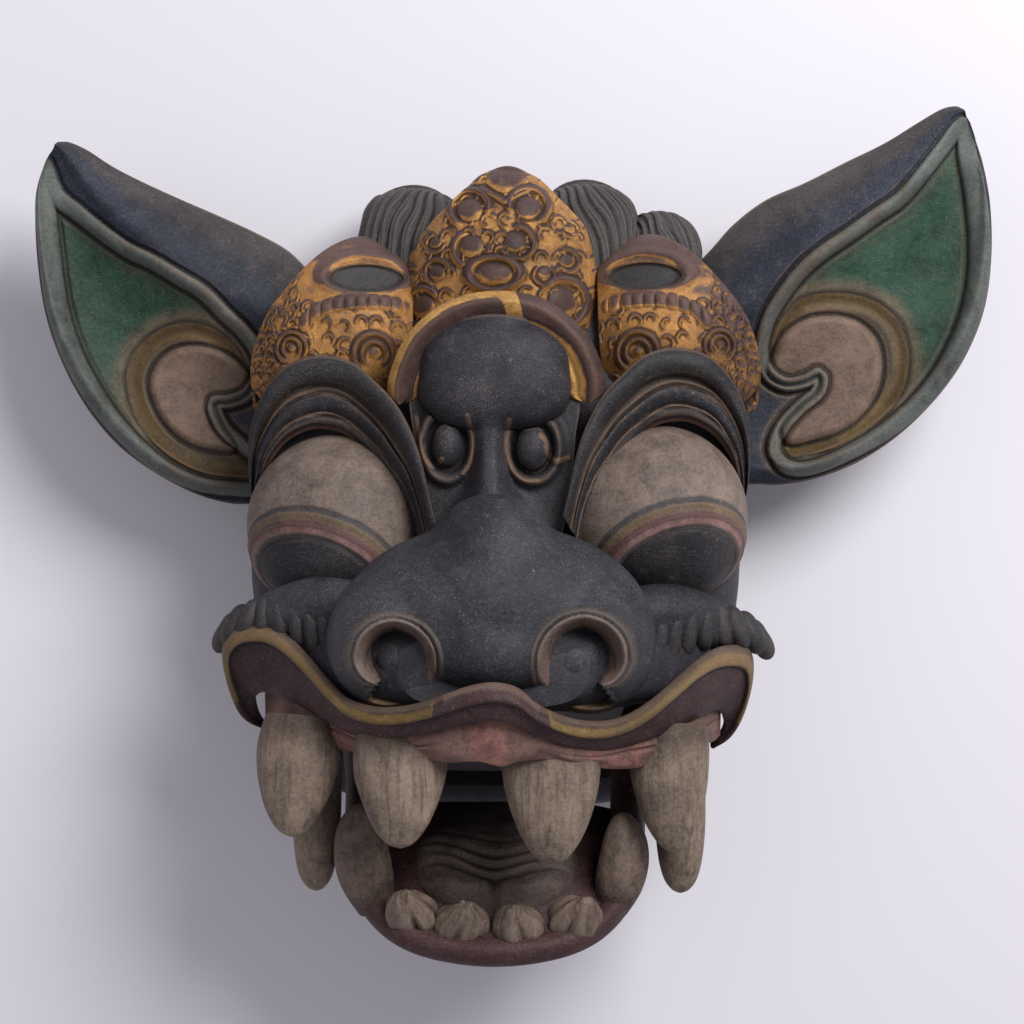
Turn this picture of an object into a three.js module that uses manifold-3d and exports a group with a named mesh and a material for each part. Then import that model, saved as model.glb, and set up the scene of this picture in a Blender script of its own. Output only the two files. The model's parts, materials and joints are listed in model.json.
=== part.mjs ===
// A carved barong mask lying on its back: hollow head, two set-on ears and a hinged lower jaw.
// Millimetres. +X is the viewer's right, +Y runs up the face to the crest, +Z comes out of the face.
// The mask's back rim lies on z = 0 and x = 0 is the face's centre line.
import * as THREE from 'three';
import { LoftGeometry } from 'three/addons/geometries/LoftGeometry.js';
import { mergeVertices } from 'three/addons/utils/BufferGeometryUtils.js';
import Module from 'manifold-3d';

const wasm = await Module();
wasm.setup();

// ---- driving sizes ----
const wall = 14;                 // thickness of the carved shell
const joinGap = 0.3;             // clearance of an ear on its seat
const fineness = 0.8;            // how far a facet may stand off the true surface
const hinge = { y: -80, z: 40 }; // jaw pivot line, parallel to X
const jawDrop = 43;              // degrees from +Z down to the open jaw's length

const colours = {
  head: 0x3b3d42,
  ear: 0x3f5a4b,
  jaw: 0x6d4a48,
};

// ---- small makers ----
const vec = (x, y, z) => new THREE.Vector3(x, y, z);
const curveThrough = points => new THREE.CatmullRomCurve3(points.map(p => vec(...p)), false, 'centripetal');
const mix = (a, b, t) => a + (b - a) * t;

// A closed three.js geometry becomes a solid with its faces outwards.
function solid(geometry) {
  const bare = new THREE.BufferGeometry();
  bare.setIndex(geometry.index);
  bare.setAttribute('position', geometry.attributes.position);
  const merged = mergeVertices(bare);
  const triVerts = Uint32Array.from(merged.index.array);
  const vertProperties = Float32Array.from(merged.attributes.position.array);
  const made = new wasm.Manifold(new wasm.Mesh({ numProp: 3, vertProperties, triVerts }));
  if (made.volume() > 0) return made;
  for (let i = 0; i < triVerts.length; i += 3) {
    [triVerts[i], triVerts[i + 1]] = [triVerts[i + 1], triVerts[i]];
  }
  return new wasm.Manifold(new wasm.Mesh({ numProp: 3, vertProperties, triVerts }));
}

const joined = solids => wasm.Manifold.union(solids);

// One carved piece: its outer skin only, with any pocket shut in between its masses left as wood.
const onePiece = made => made.decompose().sort((a, b) => b.volume() - a.volume())[0];

function ball(centre, radii, around = 16) {
  const geometry = new THREE.SphereGeometry(1, around, Math.round(around * 0.6));
  geometry.rotateX(Math.PI / 2);
  geometry.scale(...radii);
  geometry.translate(...centre);
  return solid(geometry);
}

function box(low, high) {
  const geometry = new THREE.BoxGeometry(high[0] - low[0], high[1] - low[1], high[2] - low[2]);
  geometry.translate((low[0] + high[0]) / 2, (low[1] + high[1]) / 2, (low[2] + high[2]) / 2);
  return solid(geometry);
}

// A rounded roll along a curve. size(t) gives its half-width across and its half-height off the face.
function roll(curve, size, steps = 12, sides = 8) {
  const sections = [];
  for (let i = 0; i <= steps; i++) {
    const t = i / steps;
    const centre = curve.getPointAt(t);
    const along = curve.getTangentAt(t);
    const across = vec(0, 0, 1).cross(along).normalize();
    const high = along.clone().cross(across);
    const [halfWidth, halfHeight] = size(t);
    sections.push(Array.from({ length: sides }, (_, k) => {
      const angle = (k / sides) * Math.PI * 2;
      return centre.clone()
        .addScaledVector(across, Math.cos(angle) * halfWidth)
        .addScaledVector(high, Math.sin(angle) * halfHeight);
    }));
  }
  return solid(new LoftGeometry(sections, { capStart: true, capEnd: true }));
}

// Half-sizes that stay full along a roll and round off over its last stretch at either end.
const roundEnded = (width, height, ends = 0.14) => t => {
  const nearest = Math.min(t, 1 - t) / ends;
  const full = nearest >= 1 ? 1 : Math.sqrt(Math.max(0.06, 1 - (1 - nearest) ** 2));
  return [width * full, height * full];
};

// A fang: an oval section that stays full from its root, then rounds to a blunt tip.
function fang(root, tip, width, depth, lean = 0) {
  const rootAt = vec(...root);
  const tipAt = vec(...tip);
  const sections = [];
  for (const t of [0, 0.4, 0.7, 0.9, 1]) {
    const full = Math.max(0.1, (1 - t ** 3.2) ** 0.62);
    const centre = rootAt.clone().lerp(tipAt, t);
    centre.x += lean * Math.sin(t * Math.PI);
    sections.push(Array.from({ length: 8 }, (_, k) => {
      const angle = (k / 8) * Math.PI * 2;
      return vec(
        centre.x + Math.cos(angle) * width * full,
        centre.y,
        centre.z + Math.sin(angle) * depth * full,
      );
    }));
  }
  return solid(new LoftGeometry(sections, { capStart: true, capEnd: true }));
}

// A flat spiral roll that winds inwards round a centre. hand is +1 anticlockwise, -1 clockwise.
function scroll(centre, radius, thickness, turns, startAngle, hand) {
  const points = Array.from({ length: 13 }, (_, i) => {
    const t = i / 12;
    const angle = startAngle + hand * turns * Math.PI * 2 * t;
    const reach = mix(radius - thickness, thickness * 0.9, t ** 0.8);
    return [centre[0] + Math.cos(angle) * reach, centre[1] + Math.sin(angle) * reach, centre[2]];
  });
  return roll(curveThrough(points), roundEnded(thickness, thickness, 0.12), 8, 4);
}

// ---- the head's shell ----
// Outlines at rising heights: half-width, upper end, lower end and the height of the widest line.
const faceOutlines = [
  { z: 0, wide: 103, top: 142, low: -98, waist: 18 },
  { z: 16, wide: 107, top: 147, low: -99, waist: 18 },
  { z: 44, wide: 113, top: 149, low: -101, waist: 12 },
  { z: 70, wide: 114, top: 138, low: -102, waist: 6 },
  { z: 90, wide: 108, top: 116, low: -102, waist: 0 },
  { z: 102, wide: 90, top: 90, low: -98, waist: -6 },
  { z: 109, wide: 62, top: 62, low: -90, waist: -10 },
];
const muzzleOutlines = [
  { z: 60, wide: 106, top: -18, low: -100, waist: -58 },
  { z: 100, wide: 107, top: -28, low: -93, waist: -60 },
  { z: 126, wide: 98, top: -36, low: -84, waist: -60 },
  { z: 146, wide: 82, top: -40, low: -81, waist: -61 },
  { z: 164, wide: 60, top: -44, low: -79, waist: -62 },
  { z: 178, wide: 40, top: -48, low: -76, waist: -63 },
  { z: 185, wide: 20, top: -56, low: -72, waist: -65 },
];
// A low wall that carries the back rim down behind the jaw.
const throatOutlines = [
  { z: 0, wide: 92, top: -40, low: -141, waist: -96 },
  { z: 30, wide: 92, top: -40, low: -141, waist: -96 },
  { z: 42, wide: 90, top: -40, low: -136, waist: -94 },
  { z: 48, wide: 80, top: -40, low: -116, waist: -90 },
];

const crownRoundness = 2.3;
const cheekSquareness = 3.6;

function outlineRing({ z, wide, top, low, waist }, points) {
  return Array.from({ length: points }, (_, k) => {
    const angle = (k / points) * Math.PI * 2;
    const c = Math.cos(angle);
    const s = Math.sin(angle);
    const power = 2 / (s > 0 ? crownRoundness : cheekSquareness);
    const x = Math.sign(c) * Math.abs(c) ** power * wide;
    const rise = s > 0 ? top - waist : waist - low;
    return vec(x, waist + Math.sign(s) * Math.abs(s) ** power * rise, z);
  });
}

const stacked = (outlines, points) => solid(new LoftGeometry(
  outlines.map(outline => outlineRing(outline, points)), { capStart: true, capEnd: true }));

// The hollow follows the outside one wall further in, and runs out through the back and the lower end.
function hollow() {
  const inwards = ({ z, wide, top, low, waist }) => ({
    z: z - wall, wide: wide - wall, top: top - wall, low: low - wall * 2, waist,
  });
  return joined([
    stacked(faceOutlines.map(inwards), 18),
    stacked(muzzleOutlines.slice(0, -1).map(inwards), 14),
    ball([0, -44, 128], [48, 26, 42], 10),
  ]);
}

// ---- carving on the head ----
const sides = [-1, 1];

function eyes() {
  return sides.map(side => ball([side * 73 + 1, side * 2 - 4, 104], [42, 41, 36], 14));
}

function brows() {
  return sides.flatMap(side => {
    const lift = side * 2 + 1;
    const across = side > 0 ? 4 : 0;
    const place = (x, y, z) => [side * x + across, y + lift, z];
    const outer = [
      place(113, -2, 92), place(111, 30, 106), place(96, 54, 117), place(70, 65, 126),
      place(46, 54, 136), place(31, 30, 144), place(22, 4, 152),
    ];
    const inner = [
      place(104, 4, 108), place(98, 28, 119), place(82, 44, 128), place(62, 46, 134),
      place(44, 34, 140), place(33, 12, 146),
    ];
    return [
      roll(curveThrough(outer), roundEnded(8, 9), 10, 6),
      roll(curveThrough(inner), roundEnded(5, 6), 8, 4),
    ];
  });
}

// The dark knob over the nose, its stem, and the comma scrolls on either side of the stem.
function forehead() {
  const stem = curveThrough([[1, 60, 132], [0, 32, 142], [0, 4, 152], [0, -16, 162]]);
  return [
    ball([1, 62, 116], [34, 28, 30], 12),
    roll(stem, t => [mix(20, 14, Math.sin(t * Math.PI)), 16], 4, 6),
    ...sides.map(side => scroll([side * 18.5, 30, 150], 12, 4.2, 0.9, side > 0 ? Math.PI : 0, -side)),
  ];
}

const crestBulb = { centre: [3, 100, 78], radii: [47, 60, 50] };

const onBulb = (x, y) => {
  const dx = (x - crestBulb.centre[0]) / crestBulb.radii[0];
  const dy = (y - crestBulb.centre[1]) / crestBulb.radii[1];
  return crestBulb.centre[2] + crestBulb.radii[2] * Math.sqrt(Math.max(0, 1 - dx * dx - dy * dy));
};

function crest() {
  const curls = [
    { x: -31, y: 94, r: 13 }, { x: 2, y: 122, r: 14 }, { x: 34, y: 98, r: 13 },
  ];
  const archRoll = curveThrough([
    [-42, 48, 128], [-36, 72, 132], [-18, 91, 132], [3, 97, 131], [24, 91, 132], [39, 72, 132], [43, 48, 128],
  ]);
  return [
    ball(crestBulb.centre, crestBulb.radii, 14),
    ball([7, 150, 78], [14, 13, 16], 10),
    roll(archRoll, roundEnded(6.5, 8, 0.08), 10, 5),
    ...curls.map(({ x, y, r }) => scroll([x, y, onBulb(x, y)], r, r * 0.34, 0.85, x * 0.05, x < 0 ? 1 : -1)),
  ];
}

// Gilded pads over the brows, each with an almond hollow ringed by a raised lid.
function temples() {
  return sides.map(side => {
    const pad = ball([side * 76 + 5, 84, 76], [46, 44, 42], 11);
    const lid = curveThrough(Array.from({ length: 9 }, (_, i) => {
      const angle = mix(0.06, 0.94, i / 8) * Math.PI;
      return [side * 64 + 5 + Math.cos(angle) * 23, 102 + Math.sin(angle) * 10, 108 - Math.sin(angle) * 4];
    }));
    return pad
      .subtract(ball([side * 64 + 5, 105, 114], [20, 6.5, 9], 9))
      .add(roll(lid, roundEnded(3.6, 4), 6, 4));
  });
}

// Combed hair behind the crest: fat lobes that rise from the brow side and turn down behind, each one
// fluted along its length into strands.
function hair() {
  const lobes = [
    { x: -38, y: 125, wide: 25, strands: 7 }, { x: 41, y: 127, wide: 24, strands: 7 },
    { x: 76, y: 114, wide: 19, strands: 5 },
  ];
  return lobes.map(({ x, y, wide, strands }) => {
    const path = curveThrough([[x, y - 40, 74], [x, y - 6, 76], [x, y + 10, 56], [x * 0.96, y + 6, 22]]);
    const sections = Array.from({ length: 5 }, (_, i) => {
      const centre = path.getPointAt(i / 4);
      const along = path.getTangentAt(i / 4);
      const high = vec(1, 0, 0).cross(along).negate();
      return Array.from({ length: strands * 2 }, (_unused, k) => {
        const angle = (k / (strands * 2)) * Math.PI * 2;
        const flute = k % 2 ? 1.03 : 0.87;
        return centre.clone()
          .add(vec(Math.cos(angle) * wide * flute, 0, 0))
          .addScaledVector(high, Math.sin(angle) * 15 * flute);
      });
    });
    return solid(new LoftGeometry(sections, { capStart: true, capEnd: true }));
  });
}

// The snout: a round ball at the bridge end, broad wings, and a spiral nostril on each side.
function snout() {
  return [
    ball([0, -10, 152], [29, 23, 26], 12),
    ball([0, -42, 146], [64, 40, 48], 16),
    ball([0, -70, 160], [26, 24, 38], 10),
    ...sides.flatMap(side => {
      const centre = [side * 43 - 2, -62, 178];
      return [
        ball([centre[0], -58, 156], [27, 33, 34], 10),
        scroll([centre[0], centre[1], 189], 19, 4.6, 0.95, side > 0 ? 0.4 : 2.7, side),
      ];
    }),
  ];
}

// The wavy lip rolls down at both corners; the gum shows as a lower band set back under it.
function mouth() {
  const lip = curveThrough([
    [-101, -95, 108], [-112, -84, 116], [-114, -68, 126], [-96, -74, 146], [-72, -87, 168], [-45, -95, 184],
    [-20, -91, 193], [0, -83, 197], [22, -92, 193], [49, -98, 184], [74, -92, 168], [97, -77, 146],
    [108, -68, 126], [108, -86, 116], [94, -99, 108],
  ]);
  const gum = curveThrough([
    [-92, -92, 108], [-84, -98, 138], [-45, -102, 170], [0, -99, 184], [45, -106, 170], [80, -104, 138],
    [86, -98, 108],
  ]);
  return [
    roll(lip, t => {
      const corner = Math.abs(2 * t - 1) ** 2;
      const ends = roundEnded(1, 1, 0.05)(t)[0];
      return [mix(6.5, 10.5, corner) * ends, mix(8, 11, corner) * ends];
    }, 24, 6),
    roll(gum, roundEnded(7.5, 7, 0.06), 12, 5),
  ];
}

// Curled tufts of cheek fur above the ends of the lip.
function tufts() {
  return sides.flatMap(side => [0, 1, 2].map(k => ball(
    [side * (108 - k * 15), -50 - k * 4, 128 + k * 10], [10, 10, 10], 6)));
}

function upperFangs() {
  const fangs = [
    { root: [-85.5, -88, 136], tip: [-89.5, -143, 142], width: 17.5, depth: 12, lean: -1 },
    { root: [-41, -92, 160], tip: [-40.5, -145, 168], width: 19, depth: 13, lean: 0 },
    { root: [24.5, -92, 160], tip: [25, -151, 168], width: 20, depth: 13, lean: 0 },
    { root: [76.5, -92, 136], tip: [78.5, -149, 142], width: 18, depth: 12, lean: 1 },
    { root: [-80, -86, 108], tip: [-81, -172, 106], width: 10, depth: 12, lean: -2 },
    { root: [84, -88, 108], tip: [85, -174, 106], width: 11, depth: 12, lean: 2 },
  ];
  return fangs.map(({ root, tip, width, depth, lean }) => fang(root, tip, width, depth, lean));
}

// The jaw hangs on two short stubs that turn in blind bores in the cheeks.
const stub = { radius: 5.6, inner: 66, outer: 91, bore: 6.6, boreEnd: 93 };

function crossBar(radius, from, to) {
  const geometry = new THREE.CylinderGeometry(radius, radius, Math.abs(to - from), 12);
  geometry.rotateZ(Math.PI / 2);
  geometry.translate((from + to) / 2, hinge.y, hinge.z);
  return solid(geometry);
}

// ---- ears ----
// Each ear is spanned between its thick upper edge and its full lower edge, root to tip.
const earSpans = {
  left: {
    upper: [[-82, 110, 0], [-123, 138, 0], [-161, 156, 0], [-199, 172, 0]],
    lower: [
      [-110, 4, 0], [-134, 6, 0], [-163, 18, 0], [-191, 44, 0], [-209, 84, 0], [-215, 122, 0], [-209, 158, 0],
      [-202, 170, 0],
    ],
    disk: [-143, 57],
    side: -1,
  },
  right: {
    upper: [[92, 122, 0], [124, 148, 0], [165, 166, 0], [212, 189, 0]],
    lower: [
      [120, 12, 0], [140, 12, 0], [172, 24, 0], [206, 50, 0], [225, 92, 0], [232, 130, 0], [225, 170, 0],
      [216, 187, 0],
    ],
    disk: [157, 66],
    side: 1,
  },
};

// Front of the ear across its width: a sloping upper strip, a rim, a scooped leaf and a lower rim.
const earFront = [
  [0, -14], [0.08, -4], [0.2, 12], [0.26, 16], [0.31, 13], [0.36, 4], [0.62, -6], [0.85, -4], [0.9, 4],
  [0.96, 5], [1, -2],
];
const earBack = [[0.92, -10], [0.6, -22], [0.3, -26], [0.1, -24]];

function ear({ upper, lower, disk, side }) {
  const upperEdge = curveThrough(upper);
  const lowerEdge = curveThrough(lower);
  const steps = 11;
  const sections = [];
  for (let i = 0; i <= steps; i++) {
    const s = i / steps;
    const top = upperEdge.getPointAt(s);
    const bottom = lowerEdge.getPointAt(s);
    const scale = Math.min(1, 0.18 + (1 - s) * 1.9);
    const rise = mix(62, 74, s);
    const place = ([v, h]) => vec(mix(top.x, bottom.x, v), mix(top.y, bottom.y, v), rise + h * scale);
    const ring = [...earFront, ...earBack].map(place);
    sections.push(side < 0 ? ring.reverse() : ring);
  }
  const leaf = solid(new LoftGeometry(sections, { capStart: true, capEnd: true }));
  const comma = ball([disk[0], disk[1], 56], [23, 25, 9], 12);
  const ring = scroll([disk[0], disk[1], 60], 32, 3.4, 0.8, side > 0 ? 2.5 : 0.6, side);
  const root = [upperEdge.getPointAt(0), lowerEdge.getPointAt(0)];
  return { solid: joined([leaf, comma, ring]), root };
}

// The seat for an ear's root: a flat housing cut in the head's side, clear of the root all round.
function earSeat({ root, side }) {
  const [top, bottom] = root;
  const down = bottom.clone().sub(top).normalize();
  const out = vec(down.y * side, -down.x * side, 0).multiplyScalar(-1);
  const length = top.distanceTo(bottom) + 8;
  const geometry = new THREE.BoxGeometry(60, length, 54);
  const turn = new THREE.Matrix4().makeBasis(out, down, out.clone().cross(down));
  geometry.applyMatrix4(turn);
  const middle = top.clone().add(bottom).multiplyScalar(0.5).addScaledVector(out, 30 - joinGap);
  geometry.translate(middle.x, middle.y, 61);
  return solid(geometry);
}

// ---- the lower jaw, in its own length (f), height (u) and width (x) about the hinge ----
const drop = THREE.MathUtils.degToRad(jawDrop);
const forwards = vec(0, -Math.sin(drop), Math.cos(drop));
const upwards = vec(0, Math.cos(drop), Math.sin(drop));
const inJaw = (x, f, u) => vec(x, hinge.y, hinge.z).addScaledVector(forwards, f).addScaledVector(upwards, u);
const jawPath = points => new THREE.CatmullRomCurve3(points.map(p => inJaw(...p)), false, 'centripetal');
const jawTurn = new THREE.Matrix4().makeBasis(vec(1, 0, 0), forwards, upwards).setPosition(0, hinge.y, hinge.z);

function jawBall(centre, radii, around = 12) {
  const geometry = new THREE.SphereGeometry(1, around, Math.round(around * 0.6));
  geometry.rotateX(Math.PI / 2);
  geometry.scale(...radii);
  geometry.translate(...centre);
  geometry.applyMatrix4(jawTurn);
  return solid(geometry);
}

function jawPlate(outline, low, high) {
  const shape = new THREE.Shape(outline.map(([x, f]) => new THREE.Vector2(x, f)));
  const geometry = new THREE.ExtrudeGeometry(shape, { depth: high - low, bevelEnabled: false });
  geometry.translate(0, 0, low);
  geometry.applyMatrix4(jawTurn);
  return solid(geometry);
}

// The scoop's plan: straight arms from the pivot, closing round in a broad front.
const scoopPlan = (halfWidth, front, back) => [
  [-halfWidth, back], [halfWidth, back],
  ...Array.from({ length: 11 }, (_, i) => {
    const angle = (i / 10) * Math.PI;
    return [Math.cos(angle) * halfWidth, front - 62 + Math.sin(angle) * 62];
  }),
];

// The four front teeth: their middles across, along and above the jaw.
const frontTeeth = [
  { x: -36.8, f: 133, u: -9.5 }, { x: -14.6, f: 138.3, u: -10.8 }, { x: 10.8, f: 138.7, u: -11.2 },
  { x: 35, f: 134.7, u: -11.3 },
];

function jaw() {
  const bowl = jawPlate(scoopPlan(64, 150, 64), -44, -14)
    .intersect(jawBall([0, 84, -4], [72, 76, 42], 16));
  const rim = roll(jawPath([
    [-58, 70, -16], [-63, 96, -16], [-54, 124, -17], [-34, 142, -18], [0, 149, -18],
    [34, 142, -18], [54, 124, -17], [63, 96, -16], [58, 70, -16],
  ]), () => [6, 7], 12, 5);
  const tongue = jawBall([0, 96, -20], [40, 34, 14], 10)
    .add(jawPlate([[-41, 68], [41, 68], [40, 100], [-40, 100]], -30, -9));
  const arms = sides.map(side => roll(jawPath([
    [side * 57, 106, -18], [side * 61, 84, -14], [side * 61.5, 56, -10], [side * 66, 30, -6],
    [side * 72, 0, 0],
  ]), () => [8, 12], 5, 6));
  const knuckles = sides.map(side => crossBar(11, side * 66, side * 78));
  const stubs = sides.map(side => crossBar(stub.radius, side * stub.inner, side * stub.outer));
  const canines = sides.map(side => jawTooth([side * 53, 120, -18], [side * 60, 98, 20 - side * 3], 12.6, 11));
  const incisors = frontTeeth.map(({ x, f, u }) => jawBall([x, f, u], [11.5, 9.5, 12], 8));
  return joined([bowl, rim, tongue, ...arms, ...knuckles, ...stubs, ...canines, ...incisors]).simplify(fineness);
}

function jawTooth(root, tip, width, depth) {
  const bow = Math.sign(root[0]) * 3;
  const middle = [mix(root[0], tip[0], 0.5) + bow, mix(root[1], tip[1], 0.4), mix(root[2], tip[2], 0.5)];
  const path = jawPath([root, middle, tip]);
  return roll(path, t => {
    const full = Math.max(0.12, (1 - t ** 3) ** 0.6);
    return [width * full, depth * full];
  }, 5, 7);
}

// ---- the pieces ----
const ears = { left: ear(earSpans.left), right: ear(earSpans.right) };

const headSolid = onePiece(joined([
  stacked(faceOutlines, 26), stacked(muzzleOutlines, 18), stacked(throatOutlines, 18), ...temples(), ...hair(),
  ...crest(), ...forehead(), ...brows(), ...eyes(), ...snout(), ...tufts(), ...mouth(),
]))
  .simplify(fineness)
  .subtract(hollow())
  .add(joined(upperFangs()))
  .subtract(earSeat({ root: ears.left.root, side: -1 }))
  .subtract(earSeat({ root: ears.right.root, side: 1 }))
  .subtract(joined(sides.map(side => crossBar(stub.bore, side * 50, side * stub.boreEnd))))
  .subtract(box([-300, -300, -50], [300, 300, 0]))
  .simplify(joinGap / 4);

function meshOf(name, made, colour) {
  const { vertProperties, triVerts, numProp } = made.getMesh();
  const geometry = new THREE.BufferGeometry();
  const positions = new Float32Array((vertProperties.length / numProp) * 3);
  for (let i = 0; i < positions.length / 3; i++) {
    for (let k = 0; k < 3; k++) positions[i * 3 + k] = vertProperties[i * numProp + k];
  }
  geometry.setAttribute('position', new THREE.BufferAttribute(positions, 3));
  geometry.setIndex(new THREE.BufferAttribute(new Uint32Array(triVerts), 1));
  geometry.computeVertexNormals();
  const material = new THREE.MeshStandardMaterial({ color: colour, roughness: 0.85, metalness: 0 });
  const mesh = new THREE.Mesh(geometry, material);
  mesh.name = name;
  return mesh;
}

// The part's origin is the middle of the space it covers on the table, not the face's own centre line.
const coveredMiddle = { x: 8.6, y: -5.6 };
const group = new THREE.Group();
group.position.set(-coveredMiddle.x, -coveredMiddle.y, 0);
group.add(
  meshOf('head', onePiece(headSolid), colours.head),
  meshOf('ear_left', onePiece(ears.left.solid), colours.ear),
  meshOf('ear_right', onePiece(ears.right.solid), colours.ear),
  meshOf('jaw', onePiece(jaw()), colours.jaw),
);

export default group;
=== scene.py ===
import json
import math
import bpy
import numpy as np
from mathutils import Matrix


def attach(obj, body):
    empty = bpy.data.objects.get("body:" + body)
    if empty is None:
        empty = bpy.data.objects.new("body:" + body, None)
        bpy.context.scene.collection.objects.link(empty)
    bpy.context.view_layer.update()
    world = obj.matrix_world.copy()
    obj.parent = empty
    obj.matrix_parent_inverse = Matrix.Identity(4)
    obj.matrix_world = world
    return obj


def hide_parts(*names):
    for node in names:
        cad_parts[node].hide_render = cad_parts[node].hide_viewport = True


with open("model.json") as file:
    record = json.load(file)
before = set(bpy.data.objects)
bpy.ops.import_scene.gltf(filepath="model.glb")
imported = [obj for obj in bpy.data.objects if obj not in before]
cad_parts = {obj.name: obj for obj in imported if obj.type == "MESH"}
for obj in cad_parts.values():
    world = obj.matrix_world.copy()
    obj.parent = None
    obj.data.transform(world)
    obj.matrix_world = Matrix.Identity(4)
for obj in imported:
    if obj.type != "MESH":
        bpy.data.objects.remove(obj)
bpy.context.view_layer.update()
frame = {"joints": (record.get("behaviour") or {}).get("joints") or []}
print("frame loaded")

# Lengths below are millimetres from the face's centre line, the lower end of the nose bridge and the table.
# The jaw's pivot has a known place in that frame, so it ties the two frames together.
pivotInFace = np.array([0.0, -80.0, 40.0])
pivotInPart = np.array(frame["joints"][0]["pos_m"])
jawDrop = math.radians(43)
jawForward = np.array([0, -math.sin(jawDrop), math.cos(jawDrop)])
jawUp = np.array([0, math.cos(jawDrop), math.sin(jawDrop)])


def toPart(points):
    # face millimetres to metres in the part's frame
    return (np.asarray(points, float) - pivotInFace) * 0.001 + pivotInPart


def inJaw(points):
    # width, length and height about the jaw's pivot to face millimetres
    p = np.asarray(points, float)
    return pivotInFace + p[..., :1] * np.array([1.0, 0, 0]) + p[..., 1:2] * jawForward + p[..., 2:3] * jawUp


# numbers and curves
def eased(low, high, x):
    # 0 below low, 1 above high and an even S between
    t = np.clip((x - low) / (high - low), 0.0, 1.0)
    return t * t * (3 - 2 * t)


def bump(x, middle, halfWidth):
    # a smooth hill of height 1 about the middle, 0 beyond its half-width
    return np.cos(np.clip((x - middle) / halfWidth, -1, 1) * np.pi / 2) ** 2


def smoothPath(points, count, closed=False):
    # a Catmull-Rom curve through the rows given, sampled at even steps of length
    p = np.asarray(points, float)
    p = np.vstack([p[-1], p, p[0], p[1]]) if closed else np.vstack([2 * p[0] - p[1], p, 2 * p[-1] - p[-2]])
    spans = len(p) - 3
    t = np.linspace(0, spans, 60 * spans + 1)
    i = np.minimum(t.astype(int), spans - 1)
    f = (t - i)[:, None]
    a, b, c, d = p[i], p[i + 1], p[i + 2], p[i + 3]
    q = 0.5 * (2 * b + (c - a) * f + (2 * a - 5 * b + 4 * c - d) * f ** 2 + (3 * b - a - 3 * c + d) * f ** 3)
    s = np.concatenate([[0], np.cumsum(np.linalg.norm(np.diff(q[:, :3], axis=0), axis=1))])
    even = np.linspace(0, s[-1], count + 1)[:-1] if closed else np.linspace(0, s[-1], count)
    return np.stack([np.interp(even, s, q[:, k]) for k in range(q.shape[1])], axis=1)


def unit(v):
    return v / np.maximum(np.linalg.norm(v, axis=-1, keepdims=True), 1e-9)


def hills(x, y, cell, seed=0):
    # smooth random hills from 0 to 1: hashed values at the corners of square cells, eased between them
    u, v = x / cell, y / cell
    iu, iv = np.floor(u), np.floor(v)
    fu, fv = eased(0, 1, u - iu), eased(0, 1, v - iv)

    def corner(a, b):
        h = np.sin(a * 127.1 + b * 311.7 + seed * 74.7) * 43758.5453
        return h - np.floor(h)

    low = corner(iu, iv) * (1 - fu) + corner(iu + 1, iv) * fu
    high = corner(iu, iv + 1) * (1 - fu) + corner(iu + 1, iv + 1) * fu
    return low * (1 - fv) + high * fv


def lineDistance(x, y, line):
    # distance in plan from each point to a drawn line, and how far along it (0 to 1) the nearest point is
    best, where = np.full(x.shape, 1e9), np.zeros(x.shape)
    steps = len(line) - 1
    for k in range(steps):
        (ax, ay), (bx, by) = line[k, :2], line[k + 1, :2]
        dx, dy = bx - ax, by - ay
        t = np.clip(((x - ax) * dx + (y - ay) * dy) / max(dx * dx + dy * dy, 1e-9), 0, 1)
        d = np.hypot(x - ax - t * dx, y - ay - t * dy)
        where = np.where(d < best, (k + t) / steps, where)
        best = np.minimum(best, d)
    return best, where


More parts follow.
